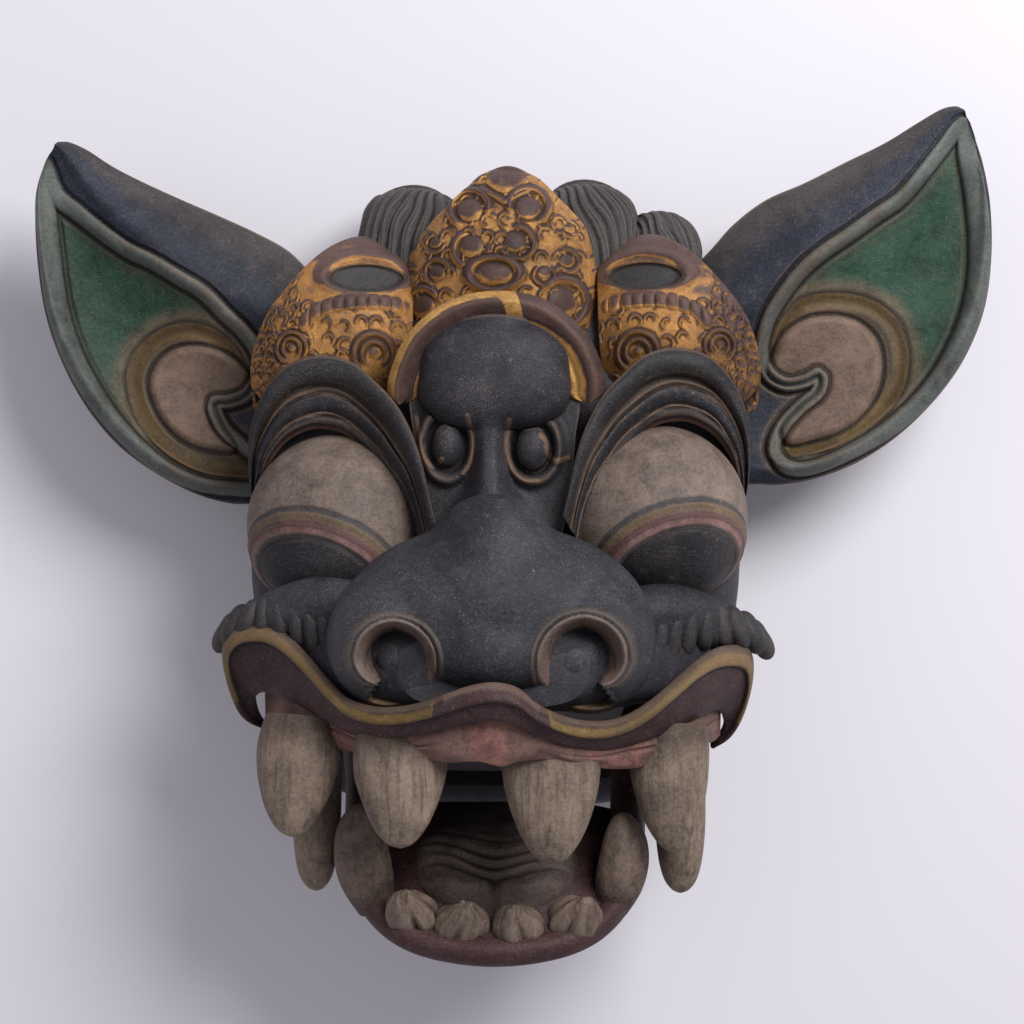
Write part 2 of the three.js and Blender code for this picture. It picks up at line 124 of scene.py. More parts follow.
# surfaces
def strip(grid, wrapRows=False, wrapCols=True, capStart=False, capEnd=False, layers=None):
    # One closed skin from a grid of points (rows, columns, 3). Caps are fans to the middle of an end row.
    # "hollow" is how far a point lies under the mean of its neighbours 1.6 mm away, along the outward normal.
    rows, cols = grid.shape[:2]
    r = np.arange(rows if wrapRows else rows - 1)[:, None]
    c = np.arange(cols if wrapCols else cols - 1)[None, :]
    r2, c2 = (r + 1) % rows, (c + 1) % cols
    quads = np.stack([r * cols + c, r * cols + c2, r2 * cols + c2, r2 * cols + c], axis=-1).reshape(-1, 4)
    ring, points, fans = c[0], [grid.reshape(-1, 3)], [np.zeros((0, 3), int)]
    if capStart:
        fans.append(np.stack([c2[0], ring, np.full_like(ring, rows * cols)], axis=-1))
        points.append(grid[:1].mean(axis=1))
    if capEnd:
        pole = rows * cols + (1 if capStart else 0)
        base = (rows - 1) * cols
        fans.append(np.stack([base + ring, base + c2[0], np.full_like(ring, pole)], axis=-1))
        points.append(grid[-1:].mean(axis=1))
    points, fans = np.vstack(points), np.vstack(fans)

    def shifted(axis, by, wrap):
        if wrap:
            return np.roll(grid, by, axis=axis)
        return np.take(grid, np.clip(np.arange(grid.shape[axis]) - by, 0, grid.shape[axis] - 1), axis=axis)

    rowReach, colReach = (max(1, min(12, round(1.6 / max(0.05, np.median(np.linalg.norm(np.diff(grid, axis=k),
            axis=-1))))))
                          for k in (0, 1))
    down, up = shifted(0, rowReach, wrapRows), shifted(0, -rowReach, wrapRows)
    left, right = shifted(1, colReach, wrapCols), shifted(1, -colReach, wrapCols)
    normal = unit(np.cross(right - left, up - down))
    hollow = np.sum(((down + up + left + right) / 4 - grid) * normal, axis=-1)
    corners = points[np.vstack([quads[:, [0, 1, 2]], quads[:, [0, 2, 3]], fans])]
    corners = corners - points.mean(axis=0)
    if np.einsum("ij,ij->", corners[:, 0], np.cross(corners[:, 1], corners[:, 2])) < 0:
        quads, fans, hollow = quads[:, ::-1], fans[:, ::-1], -hollow
    values = {"hollow": hollow}
    for key, value in (layers or {}).items():
        values[key] = np.broadcast_to(np.asarray(value, float), (rows, cols))
    ends = [row for row, wanted in ((0, capStart), (-1, capEnd)) if wanted]
    flat = {key: np.concatenate([v.ravel()] + [[v[row].mean()] for row in ends]) for key, v in values.items()}
    return {"points": points, "quads": quads, "fans": fans, "layers": flat}


def meshOf(name, strips, material):
    # one mesh from several skins, with each layer as a value at every point
    starts = np.cumsum([0] + [len(s["points"]) for s in strips])
    quads = np.vstack([s["quads"] + n for s, n in zip(strips, starts)])
    fans = np.vstack([s["fans"] + n for s, n in zip(strips, starts)])
    mesh = bpy.data.meshes.new(name)
    mesh.vertices.add(starts[-1])
    mesh.vertices.foreach_set("co", toPart(np.vstack([s["points"] for s in strips])).ravel())
    mesh.loops.add(4 * len(quads) + 3 * len(fans))
    mesh.loops.foreach_set("vertex_index", np.concatenate([quads.ravel(), fans.ravel()]).astype(np.int32))
    totals = np.concatenate([np.full(len(quads), 4), np.full(len(fans), 3)])
    mesh.polygons.add(len(totals))
    mesh.polygons.foreach_set("loop_start", (np.cumsum(totals) - totals).astype(np.int32))
    mesh.polygons.foreach_set("use_smooth", np.ones(len(totals), bool))
    for key in sorted({k for s in strips for k in s["layers"]}):
        parts = [s["layers"].get(key, np.zeros(len(s["points"]))) for s in strips]
        mesh.attributes.new(key, "FLOAT", "POINT").data.foreach_set("value", np.concatenate(parts))
    mesh.update()
    mesh.validate()
    mesh.materials.append(material)
    return mesh


def carved(name, strips, material, node="head"):
    # a finished piece that stands for its node and moves with its body
    mesh = meshOf(name, strips, material)
    piece = bpy.data.objects.new(name, mesh)
    bpy.context.collection.objects.link(piece)
    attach(piece, "lower_jaw" if node == "jaw" else "mask")
    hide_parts(node)
    print(name, sum(len(p.vertices) - 2 for p in mesh.polygons), "triangles")
    return piece


def outlineRings(levels, count, points, crown=2.3, cheek=3.6):
    # Closed outlines one above another. A level is height, half-width, upper end, lower end, widest line;
    # each outline is a superellipse, rounder above its widest line and squarer below it.
    z, wide, top, low, waist = smoothPath(levels, count).T[:, :, None]
    angle = np.linspace(0, 2 * np.pi, points, endpoint=False)[None, :]
    c, s = np.cos(angle), np.sin(angle)
    power = 2 / np.where(s > 0, crown, cheek)
    x = np.sign(c) * np.abs(c) ** power * wide
    y = waist + np.sign(s) * np.abs(s) ** power * np.where(s > 0, top - waist, waist - low)
    return np.stack([x, y, np.broadcast_to(z, x.shape)], axis=-1)


def oval(columns, halfWidth, halfHeight, squareness=2.0):
    # an oval, or for a squareness over 2 a rounded box; each size is a number or one per row
    angle = np.linspace(0, 2 * np.pi, columns, endpoint=False)
    c, s = np.cos(angle), np.sin(angle)
    a = np.sign(c) * np.abs(c) ** (2 / squareness) * np.reshape(halfWidth, (-1, 1))
    b = np.sign(s) * np.abs(s) ** (2 / squareness) * np.reshape(halfHeight, (-1, 1))
    return np.stack(np.broadcast_arrays(a, b), axis=-1)


def sweep(path, profile, lift=(0, 0, 1)):
    # a closed profile (across, up) carried along a path; up leans as close to lift as the path allows
    tangent = unit(np.gradient(path, axis=0))
    across = unit(np.cross(np.broadcast_to(np.asarray(lift, float), path.shape), tangent))
    high = np.cross(tangent, across)
    profile = np.broadcast_to(profile, (len(path),) + profile.shape[-2:])
    return path[:, None] + across[:, None] * profile[..., :1] + high[:, None] * profile[..., 1:]


def roundEnds(count, share=0.12, least=0.05):
    # 1 along a roll, falling in a quarter circle over its first and last share
    t = np.linspace(0, 1, count)
    near = np.clip(np.minimum(t, 1 - t) / share, 0, 1)
    return np.sqrt(np.maximum(least ** 2, 1 - (1 - near) ** 2))


def eggSkin(centre, eggs, polar, turn, softness=14):
    # One skin over several eggs that hold the centre: along each ray the reach is a soft maximum of the
    # distances at which the ray leaves the eggs. polar and turn are the rays' angles, in a column and a row.
    ray = np.stack(np.broadcast_arrays(np.sin(polar) * np.cos(turn), np.sin(polar) * np.sin(turn),
                                       np.cos(polar)), axis=-1)
    total = np.zeros(ray.shape[:2])
    for middle, radii in eggs:
        start = (np.asarray(centre, float) - middle) / radii
        along = ray / np.asarray(radii, float)
        a, b, c = np.sum(along * along, -1), np.sum(along * start, -1), np.sum(start * start) - 1
        inside = b * b - a * c
        total += np.where(inside > 0, np.maximum((np.sqrt(np.maximum(inside, 0)) - b) / a, 0), 0) ** softness
    return centre + ray * (total ** (1 / softness))[..., None]


def ovoid(centre, radii, axis, rows, cols):
    # An egg whose rows circle an axis, given as a direction on the unit ball; also the angle from it in degrees.
    along = unit(np.asarray(axis, float))
    side = unit(np.cross(along, (0, 0, 1.0) if abs(along[2]) < 0.9 else (0, 1.0, 0)))
    third = np.cross(along, side)
    polar = np.linspace(0, np.pi, rows)[:, None]
    turn = np.linspace(0, 2 * np.pi, cols, endpoint=False)[None, :]
    ray = (np.cos(polar)[..., None] * along + (np.sin(polar) * np.cos(turn))[..., None] * side
           + (np.sin(polar) * np.sin(turn))[..., None] * third)
    return centre + ray * np.asarray(radii, float), np.degrees(np.broadcast_to(polar, (rows, cols)))


def field(outline, middle, height, rings, skirt):
    # A carved field inside a closed outline: rings shrink to the middle, their height comes from height(x, y),
    # and a skirt drops into the wood behind.
    middle = np.asarray(middle, float)
    t = np.linspace(1, 0.004, rings)[:, None, None]
    plan = middle + (outline[None, :, :2] - middle) * t
    top = np.concatenate([plan, height(plan[..., 0], plan[..., 1])[..., None]], axis=-1)
    under = np.repeat(top[:1], 3, axis=0)
    under[..., 2] -= skirt * np.array([1.0, 0.5, 0.1])[:, None]
    under[..., :2] = middle + (under[..., :2] - middle) * np.array([0.94, 0.98, 0.998])[:, None, None]
    return np.concatenate([under, top], axis=0)


def eggHeight(x, y, centre, radii):
    # height of an egg's upper half over a point of the plan; its waist height outside its outline
    inside = 1 - ((x - centre[0]) / radii[0]) ** 2 - ((y - centre[1]) / radii[1]) ** 2
    return centre[2] + radii[2] * np.sqrt(np.maximum(inside, 0))


def areaDistance(x, y, outline):
    # distance to a closed outline: negative inside it, positive outside
    closed = np.vstack([outline[:, :2], outline[:1, :2]])
    inside = np.zeros(x.shape, bool)
    for (ax, ay), (bx, by) in zip(closed[:-1], closed[1:]):
        crosses = (ay > y) != (by > y)
        inside ^= crosses & (x < ax + (y - ay) * (bx - ax) / (by - ay if by != ay else 1e-9))
    return lineDistance(x, y, closed)[0] * np.where(inside, -1, 1)


def crescent(x, y, centre, radius, facing=-90, gape=70, boss=0.55):
    # A carved C-scroll of height about 1: a raised ring that is open towards facing (degrees), round a boss.
    dx, dy = x - centre[0], y - centre[1]
    r = np.hypot(dx, dy) / radius
    turn = np.degrees(np.arctan2(dy, dx)) - facing
    turn = np.abs((turn + 180) % 360 - 180)
    ring = bump(r, 0.84, 0.24) * eased(gape * 0.5, gape, turn)
    inner = np.sqrt(np.maximum(0, 1 - (np.hypot(dx - 0.12 * radius * math.cos(math.radians(facing)),
                                                dy - 0.12 * radius * math.sin(math.radians(facing)))
                                       / (boss * radius)) ** 2))
    return ring + 0.9 * inner


# paint
def paint(red, green, blue):
    # a colour as a painter's eye reads it (0 to 255), in the renderer's own scale
    c = np.array([red, green, blue]) / 255
    c = np.where(c <= 0.04045, c / 12.92, ((c + 0.055) / 1.055) ** 2.4)
    return (*c.tolist(), 1.0)


def put(tree, kind, settings=None, sockets=None):
    # adds a node; a socket's value may be another node's output
    node = tree.nodes.new(kind)
    for key, value in (settings or {}).items():
        setattr(node, key, value)
    for key, value in (sockets or {}).items():
        if isinstance(value, bpy.types.NodeSocket):
            tree.links.new(value, node.inputs[key])
        else:
            node.inputs[key].default_value = value
    return node


def calc(tree, operation, a, b=0.0, clamp=False):
    return put(tree, "ShaderNodeMath", {"operation": operation, "use_clamp": clamp}, {0: a, 1: b}).outputs[0]


def between(tree, value, low, high, toLow=0.0, toHigh=1.0):
    return put(tree, "ShaderNodeMapRange", {"interpolation_type": "SMOOTHSTEP"},
               {"Value": value, "From Min": low, "From Max": high, "To Min": toLow,
                "To Max": toHigh}).outputs[0]


def over(tree, factor, under, top, mode="MIX"):
    node = put(tree, "ShaderNodeMix", {"data_type": "RGBA", "blend_type": mode}, {0: factor})
    for socket, value in ((node.inputs[6], under), (node.inputs[7], top)):
        if isinstance(value, bpy.types.NodeSocket):
            tree.links.new(value, socket)
        else:
            socket.default_value = value
    return node.outputs[2]


def speckle(tree, place, scale, detail=3.0, roughness=0.55, distortion=0.0):
    return put(tree, "ShaderNodeTexNoise", None, {"Vector": place, "Scale": scale, "Detail": detail,
                                                  "Roughness": roughness, "Distortion": distortion}).outputs[0]


def layer(tree, name):
    return put(tree, "ShaderNodeAttribute", {"attribute_name": name}).outputs["Fac"]


def newGroup(name, inputs, outputs):
    group = bpy.data.node_groups.new(name, "ShaderNodeTree")
    for label, kind, value in inputs:
        socket = group.interface.new_socket(label, in_out="INPUT", socket_type=kind)
        if value is not None:
            socket.default_value = value
    for label, kind in outputs:
        group.interface.new_socket(label, in_out="OUTPUT", socket_type=kind)
    return group, put(group, "NodeGroupInput").outputs, put(group, "NodeGroupOutput")


def buildAging():
    # Years on paint: cloudy tone, rubbed ridges, dirt with painted shade darkening the hollows, dust, scratches,
    # pale specks and fine pits.
    number, colour = "NodeSocketFloat", "NodeSocketColor"
    group, given, out = newGroup("agedSurface", [
        ("Paint", colour, None), ("Hollow", number, 0.0), ("Bare Wood", colour, paint(128, 104, 84)),
        ("Dirt And Shade Colour", colour, paint(30, 25, 22)), ("Dust Colour", colour, paint(150, 142, 138)),
        ("Clouds", number, 0.35), ("Wear", number, 0.4), ("Hollow Dirt And Shade", number, 0.6), ("Dust", number, 0.3),
        ("Scratches", number, 0.15), ("Pits", number, 0.5)], [("Color", colour), ("Roughness", number),
                ("Height", number)])
    place = put(group, "ShaderNodeTexCoord").outputs["Object"]
    broad = speckle(group, place, 22, 4, 0.6, 0.4)
    patches = speckle(group, place, 95, 5, 0.65, 0.6)
    grain = speckle(group, place, 620, 4, 0.65)
    dots = speckle(group, place, 1500, 2, 0.5)
    chips = speckle(group, place, 330, 3, 0.7, 0.3)
    tone = calc(group, "MULTIPLY", calc(group, "SUBTRACT", calc(group, "ADD", broad, patches), 1.0), 3.2)
    tone = calc(group, "ADD", tone, calc(group, "MULTIPLY", calc(group, "SUBTRACT", grain, 0.5), 2.6))
    light = calc(group, "MAXIMUM", calc(group, "ADD", 1.0, calc(group, "MULTIPLY", tone, given["Clouds"])), 0.2)
    base = put(group, "ShaderNodeVectorMath", {"operation": "SCALE"}, {0: given["Paint"],
            "Scale": light}).outputs[0]
    ragged = calc(group, "MULTIPLY", calc(group, "SUBTRACT", patches, 0.5), 0.7)
    fine = calc(group, "MULTIPLY", calc(group, "SUBTRACT", grain, 0.5), 0.7)
    shape = calc(group, "ADD", given["Hollow"], calc(group, "ADD", ragged, fine))
    ridge = between(group, shape, -0.14, -0.46)
    hollow = between(group, shape, 0.06, 0.46)
    colourNow = over(group, calc(group, "MULTIPLY", ridge, given["Wear"]), base, given["Bare Wood"])
    rubbed = between(group, calc(group, "ADD", calc(group, "MULTIPLY", calc(group, "ADD", patches, chips), 0.5),
                                 fine), 0.56, 0.74)
    colourNow = over(group, calc(group, "MULTIPLY", rubbed, calc(group, "MULTIPLY", given["Wear"], 0.75)),
                     colourNow, given["Bare Wood"])
    # the hollows darken: dirt, and painted shade where creases fall dark
    colourNow = over(group, calc(group, "MULTIPLY", hollow, given["Hollow Dirt And Shade"]), colourNow, given["Dirt And Shade Colour"])
    streaks = put(group, "ShaderNodeMapping", None, {"Vector": place, "Rotation": (0.4, 0.3, 0.9), "Scale": (1,
            14, 3)})
    hair = speckle(group, streaks.outputs[0], 70, 3, 0.6, 0.7)
    lines = between(group, hair, 0.6, 0.7)
    colourNow = over(group, calc(group, "MULTIPLY", lines, calc(group, "MULTIPLY", given["Scratches"], grain)),
                     colourNow, given["Dust Colour"])
    veil = calc(group, "MULTIPLY", between(group, broad, 0.4, 0.7), between(group, dots, 0.48, 0.7))
    specks = calc(group, "MAXIMUM", between(group, dots, 0.64, 0.74), between(group, chips, 0.68, 0.76))
    dust = calc(group, "MAXIMUM", calc(group, "MULTIPLY", veil, 0.6), specks)
    colourNow = over(group, calc(group, "MULTIPLY", dust, given["Dust"]), colourNow, given["Dust Colour"])
    rough = calc(group, "ADD", 0.45, calc(group, "MULTIPLY", patches, 0.3))
    rough = calc(group, "ADD", rough, calc(group, "MULTIPLY", hollow, 0.15), True)
    height = calc(group, "ADD", calc(group, "MULTIPLY", patches, 0.9), calc(group, "MULTIPLY", grain,
            given["Pits"]))
    height = calc(group, "SUBTRACT", height, calc(group, "MULTIPLY", lines, 0.12))
    height = calc(group, "SUBTRACT", height, calc(group, "MULTIPLY", rubbed, 0.15))
    group.links.new(colourNow, out.inputs["Color"])
    group.links.new(rough, out.inputs["Roughness"])
    group.links.new(height, out.inputs["Height"])
    return group


def buildRaggedBand():
    # A painted band: 1 where a layer's value lies between two lines, with an edge that wanders like a brush's.
    number = "NodeSocketFloat"
    group, given, out = newGroup("brushedBand", [("Value", number, 0.0), ("From", number, 0.0), ("To", number,
            1.0),
                                                 ("Softness", number, 0.3), ("Wander", number, 0.5)],
                                                 [("Mask", number)])
    place = put(group, "ShaderNodeTexCoord").outputs["Object"]
    shake = calc(group, "ADD", calc(group, "MULTIPLY", speckle(group, place, 160, 3, 0.6), 0.6),
                 calc(group, "MULTIPLY", speckle(group, place, 900, 2, 0.6), 0.4))
    value = calc(group, "ADD", given["Value"], calc(group, "MULTIPLY", calc(group, "SUBTRACT", shake, 0.5),
                                                    calc(group, "MULTIPLY", given["Wander"], 2.0)))
    rise = between(group, calc(group, "SUBTRACT", value, given["From"]), calc(group, "MULTIPLY",
            given["Softness"], -1.0),
                   given["Softness"])
    fall = between(group, calc(group, "SUBTRACT", given["To"], value), calc(group, "MULTIPLY",
            given["Softness"], -1.0),
                   given["Softness"])
    group.links.new(calc(group, "MULTIPLY", rise, fall), out.inputs["Mask"])
    return group


aging, brushedBand = buildAging(), buildRaggedBand()


def finish(name, ground, bands=(), years=None, metal=0.0, bumpDepth=0.0006, specular=0.3, streak=None):
    # A finish: a ground colour, bands painted over it (layer, from, to, softness, wander, colour, strength, metal),
    # and the years on top.
    material = bpy.data.materials.new(name)
    material.use_nodes = True
    tree = material.node_tree
    shader = tree.nodes["Principled BSDF"]
    colour, shine = ground, metal
    for key, start, stop, softness, wander, tint, strength, *gleam in bands:
        mask = put(tree, "ShaderNodeGroup", {"node_tree": brushedBand}, {
            "Value": layer(tree, key), "From": start, "To": stop, "Softness": softness,
            "Wander": wander}).outputs[0]
        mask = calc(tree, "MULTIPLY", mask, strength)
        colour = over(tree, mask, colour, tint)
        if metal or gleam:
            target = gleam[0] if gleam else 0.0
            shine = put(tree, "ShaderNodeMix", None, {0: mask, 2: shine, 3: target}).outputs[0]
    if streak:
        place = put(tree, "ShaderNodeMapping", None,
                    {"Vector": put(tree, "ShaderNodeTexCoord").outputs["Object"],
                                                      "Scale": streak["scale"]}).outputs[0]
        lines = speckle(tree, place, 1.0, 4, 0.65, 0.3)
        colour = over(tree, between(tree, lines, streak["from"], streak["to"], 0.0, streak["strength"]), colour,
                      streak["colour"])
    aged = put(tree, "ShaderNodeGroup", {"node_tree": aging}, {"Paint": colour, "Hollow": layer(tree,
            "hollow")} | (years or {}))
    tree.links.new(aged.outputs["Color"], shader.inputs["Base Color"])
    tree.links.new(aged.outputs["Roughness"], shader.inputs["Roughness"])
    height = aged.outputs["Height"]
    if streak:
        height = calc(tree, "ADD", height, calc(tree, "MULTIPLY", lines, streak["depth"]))
    relief = put(tree, "ShaderNodeBump", None, {"Height": height, "Strength": 0.9, "Distance": bumpDepth})
    tree.links.new(relief.outputs[0], shader.inputs["Normal"])
    shader.inputs["Specular IOR Level"].default_value = specular
    if isinstance(shine, bpy.types.NodeSocket):
        tree.links.new(shine, shader.inputs["Metallic"])
    else:
        shader.inputs["Metallic"].default_value = shine
    return material


print("finishes ready")

# the head
shell = {
    "wall": 14.0,
    "openLow": 28.0,          # how far the hollow runs out below the chin line
    "face": [(0, 103, 142, -98, 18), (16, 107, 147, -99, 18), (44, 113, 149, -101, 12), (70, 114, 138, -102, 6),
             (90, 108, 116, -102, 0), (102, 90, 90, -98, -6), (109, 62, 62, -90, -10)],
    "muzzle": [(60, 107, -18, -100, -58), (100, 110, -28, -95, -60), (118, 104, -34, -89, -60),
               (134, 92, -38, -87, -61), (150, 74, -42, -88, -62), (166, 54, -46, -86, -63), (176, 40, -50, -84,
                       -65)],
    # the throat: a low wall that carries the back rim down behind the jaw
    "throat": [(0, 92, -40, -141, -96), (30, 92, -40, -141, -96), (42, 90, -40, -136, -94), (48, 80, -40, -116,
            -90)],
}
cheekPaint = finish("cheekSlate", paint(50, 49, 55), [], {"Wear": 0.45, "Clouds": 0.4, "Dust": 0.25})
bareWood = finish("bareInside", paint(66, 52, 43), [], {"Wear": 0.1, "Clouds": 0.35, "Dust": 0.2, "Hollow Dirt And Shade": 0.5},
                  streak={"scale": (60, 8, 60), "from": 0.45, "to": 0.7, "strength": 0.5,
                          "colour": paint(70, 52, 40), "depth": 0.5})


def solid(name, rings, material):
    skin = strip(rings, capStart=True, capEnd=True, layers={"hollow": 0})
    piece = bpy.data.objects.new(name, meshOf(name, [skin], material))
    bpy.context.collection.objects.link(piece)
    return piece


def combine(piece, other, operation):
    # joins or cuts with another closed solid, which is then removed
    step = piece.modifiers.new("cut", "BOOLEAN")
    step.operation, step.object, step.solver, step.material_mode = operation, other, "EXACT", "TRANSFER"
    bpy.context.view_layer.update()
    mesh = bpy.data.meshes.new_from_object(piece.evaluated_get(bpy.context.evaluated_depsgraph_get()))
    piece.modifiers.clear()
    piece.data = mesh
    bpy.data.objects.remove(other)


def headShell():
    # the hollow head: a rounded face and a muzzle, both scooped out to an even wall and open at the back
    face, muzzle = np.array(shell["face"], float), np.array(shell["muzzle"], float)
    wall, low = shell["wall"], shell["openLow"]
    inset = np.array([-wall, -wall, -wall, -low, 0])
    hollowFace = np.vstack([(face + inset)[:1] + [-6, 0, 0, 0, 0], face + inset])
    hollowFace[0, 0] = -20
    piece = solid("headShell", outlineRings(face, 60, 180), cheekPaint)
    combine(piece, solid("muzzle", outlineRings(muzzle, 60, 180), cheekPaint), "UNION")
    combine(piece, solid("throat", outlineRings(shell["throat"], 30, 140), cheekPaint), "UNION")
    combine(piece, solid("hollow", outlineRings(hollowFace, 50, 140), bareWood), "DIFFERENCE")
    combine(piece, solid("mouth", outlineRings(muzzle + inset, 50, 140), bareWood), "DIFFERENCE")
    piece.data.set_sharp_from_angle(angle=math.radians(40))
    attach(piece, "mask")
    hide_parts("head")
    print("headShell", sum(len(p.vertices) - 2 for p in piece.data.polygons), "triangles")


headShell()

# the crest
slate, lacquer, gold = paint(46, 45, 50), paint(74, 54, 50), paint(178, 128, 70)
crest = {
    "outline": [(6, 158), (19, 153), (29, 143), (40, 132), (47, 121), (49, 111), (47, 101), (46, 87),
                (45, 68), (44, 56), (35, 50), (0, 46), (-37, 46.5), (-43, 54), (-45, 68), (-45.4, 82),
                (-45.5, 96), (-43.5, 107.5), (-37, 121), (-27.5, 133), (-13, 147), (-6, 154)],
    "middle": (2, 98),
    "bulb": ((3, 100, 78), (47, 60, 50)),
    "crown": ((6, 152, 80), (15, 14, 16)),
    # centre, radius, the way the scroll opens (degrees), height
    "scrolls": [((-11.7, 137), 10.5, -70, 3.0), ((15.2, 138), 10.5, -110, 3.0), ((-10.8, 117.5), 9.5, 60, 2.6),
                ((9.9, 120), 9.0, 150, 2.6), ((-33.4, 93), 9.5, -20, 2.6), ((31.5, 94), 12.5, 200, 3.0),
                ((-27.2, 121), 5.0, 40, 1.8), ((-26.3, 108), 6.5, -60, 2.0), ((34.3, 128), 4.5, 140, 1.6),
                ((32.9, 113), 6.0, 200, 2.0), ((-38, 107), 5.0, 0, 1.6), ((22, 106), 5.5, 90, 1.8)],
}
giltYears = {"Wear": 0.12, "Clouds": 0.5, "Dust": 0.1, "Hollow Dirt And Shade": 0.85, "Dirt And Shade Colour": paint(40, 27, 22),
             "Scratches": 0.08,
             "Bare Wood": paint(120, 88, 66)}
gilding = finish("crestGilding", lacquer, [
    ("gilt", 0.46, 9.0, 0.10, 0.20, gold, 0.9, 0.3), ("gilt", 0.80, 9.0, 0.12, 0.25, paint(214, 164, 94), 0.75,
                                                      0.45)],
    giltYears, metal=0.02, specular=0.4)


def dice(a, b, seed):
    # a fixed random number from 0 to 1 for each pair of whole numbers
    h = np.sin(a * 127.1 + b * 311.7 + seed * 74.7) * 43758.5453
    return h - np.floor(h)


def curls(x, y, cell, seed, lean, spread=150):
    # Small carved C strokes, one to a square cell, each open towards lean give or take spread (degrees).
    # The height is that of the highest stroke at a point, 0 to 1.
    total = np.zeros(x.shape)
    for a in (-1, 0, 1):
        for b in (-1, 0, 1):
            cu, cv = np.floor(x / cell) + a, np.floor(y / cell) + b
            chance = dice(cu, cv, seed + 2)
            dx = x - (cu + 0.5 + 0.4 * (dice(cu, cv, seed) - 0.5)) * cell
            dy = y - (cv + 0.5 + 0.4 * (dice(cu, cv, seed + 1) - 0.5)) * cell
            turn = np.degrees(np.arctan2(dy, dx)) - lean - spread * (chance - 0.5)
            turn = np.abs((turn + 180) % 360 - 180)
            total = np.maximum(total, bump(np.hypot(dx, dy) / cell, 0.26 + 0.14 * chance, 0.13) * eased(45, 95,
                    turn))
    return total


def crestRelief(x, y):
    # the carved scrolls, with a sunk line between each and its neighbours
    total = np.zeros(x.shape)
    for centre, radius, facing, height in crest["scrolls"]:
        total = np.maximum(total, height * crescent(x, y, centre, radius, facing))
    dx, dy = (x + 0.5) / 13.5, (y - 106) / 8.6
    ring = np.hypot(dx, dy)
    total = np.where(ring < 1.25, np.maximum(total * eased(1.0, 1.2, ring), 3.2 * bump(ring, 0.86, 0.3)
                                             + 2.8 * np.sqrt(np.maximum(0, 1 - (ring / 0.62) ** 2))), total)
    capPetal = np.hypot((x - 5.5) / 9.5, (y - 151) / 7.5)
    total = np.maximum(total, 2.6 * np.sqrt(np.maximum(0, 1 - capPetal ** 2)) ** 0.6)
    chevron, along = lineDistance(x, y, np.array([(-6, 146), (4.6, 139.5), (16, 146.5)]))
    total = np.maximum(total, 2.4 * bump(chevron, 0, 2.4))
    return np.maximum(total, 1.5 * curls(x, y, 8.5, 5, -80) * (total < 0.5))


def giltOf(relief, x, y, worn=2.4):
    # gold stays low down and on the slopes that face the chin; it is rubbed off the tops
    slope = (relief(x, y + 0.6) - relief(x, y - 0.6)) / 1.2
    low = 1 - relief(x, y) / worn
    return np.clip(0.22 + 0.36 * low, -0.4, 0.7) + 0.5 * np.clip(slope, -0.6, 0.9)


def crestPiece():
    edge = smoothPath(crest["outline"], 520, closed=True)

    def height(x, y):
        bulb = np.maximum(eggHeight(x, y, *crest["bulb"]), eggHeight(x, y, *crest["crown"]))
        return bulb + crestRelief(x, y)

    grid = field(edge, crest["middle"], height, 150, 16)
    x, y = grid[..., 0], grid[..., 1]
    carved("crest", [strip(grid, capStart=True, capEnd=True, layers={
        "gilt": giltOf(crestRelief, x, y) + 0.3 * (hills(x, y, 9, 3) - 0.5) + 0.2 * (hills(x, y, 3,
                6) - 0.5)})], gilding)


crestPiece()

arch = {"path": [(-41, 50, 127), (-39.5, 60, 131), (-32, 75, 134), (-17, 86.5, 135), (1, 90, 135),
                 (19, 86.5, 135),
                 (33, 75, 134), (40, 61, 131), (41, 50, 128)], "width": 8.0}


def archPiece():
    # the band over the forehead: a raised lacquered outer roll and a flatter gilt band along its inside, with a
    # painted highlight of brighter gold on the inner band of the right half and on the outer side of the left half
    path = smoothPath(arch["path"], 300)
    angle = np.linspace(0, 2 * np.pi, 72, endpoint=False)
    c, s = np.cos(angle), np.sin(angle)
    along = np.linspace(0, 1, 300)[:, None]
    wide = arch["width"] * roundEnds(300, 0.03, 0.4)[:, None] * (0.9 + 0.2 * along)
    top = 3.4 + 4.2 * bump(c, 0.35, 0.8) + 0.8 * bump(c, -0.72, 0.4)
    high = np.where(s > 0, np.abs(s) ** 0.7 * top, s * 7)
    profile = np.stack([wide * np.sign(c) * np.abs(c) ** 0.8, np.broadcast_to(high, (300, 72))], axis=-1)
    inner = -0.52 + 0.5 * eased(0.45, 0.85, along) - 0.08 * eased(0.25, 0.0, along)
    across = np.broadcast_to(c, (300, 72)) - inner
    carved("foreheadArch", [strip(sweep(path, profile), capStart=True, capEnd=True, layers={
        "across": across, "bright": across - 3 * eased(0.62, 0.5, along)})],
        finish("archGilding", lacquer, [
            ("across", -2.0, -0.02, 0.05, 0.09, gold, 0.9, 0.35),
            # painted highlight: brighter, shinier gold on the half of the arch that catches the light
            ("bright", -2.0, -0.08, 0.05, 0.09, paint(226, 174, 98), 0.75, 0.45),
            ("across", 0.0, 0.09, 0.03, 0.05, paint(44, 31, 26), 0.7, 0.0)],
            giltYears | {"Wear": 0.25, "Hollow Dirt And Shade": 0.6}, metal=0.02, specular=0.4))


archPiece()

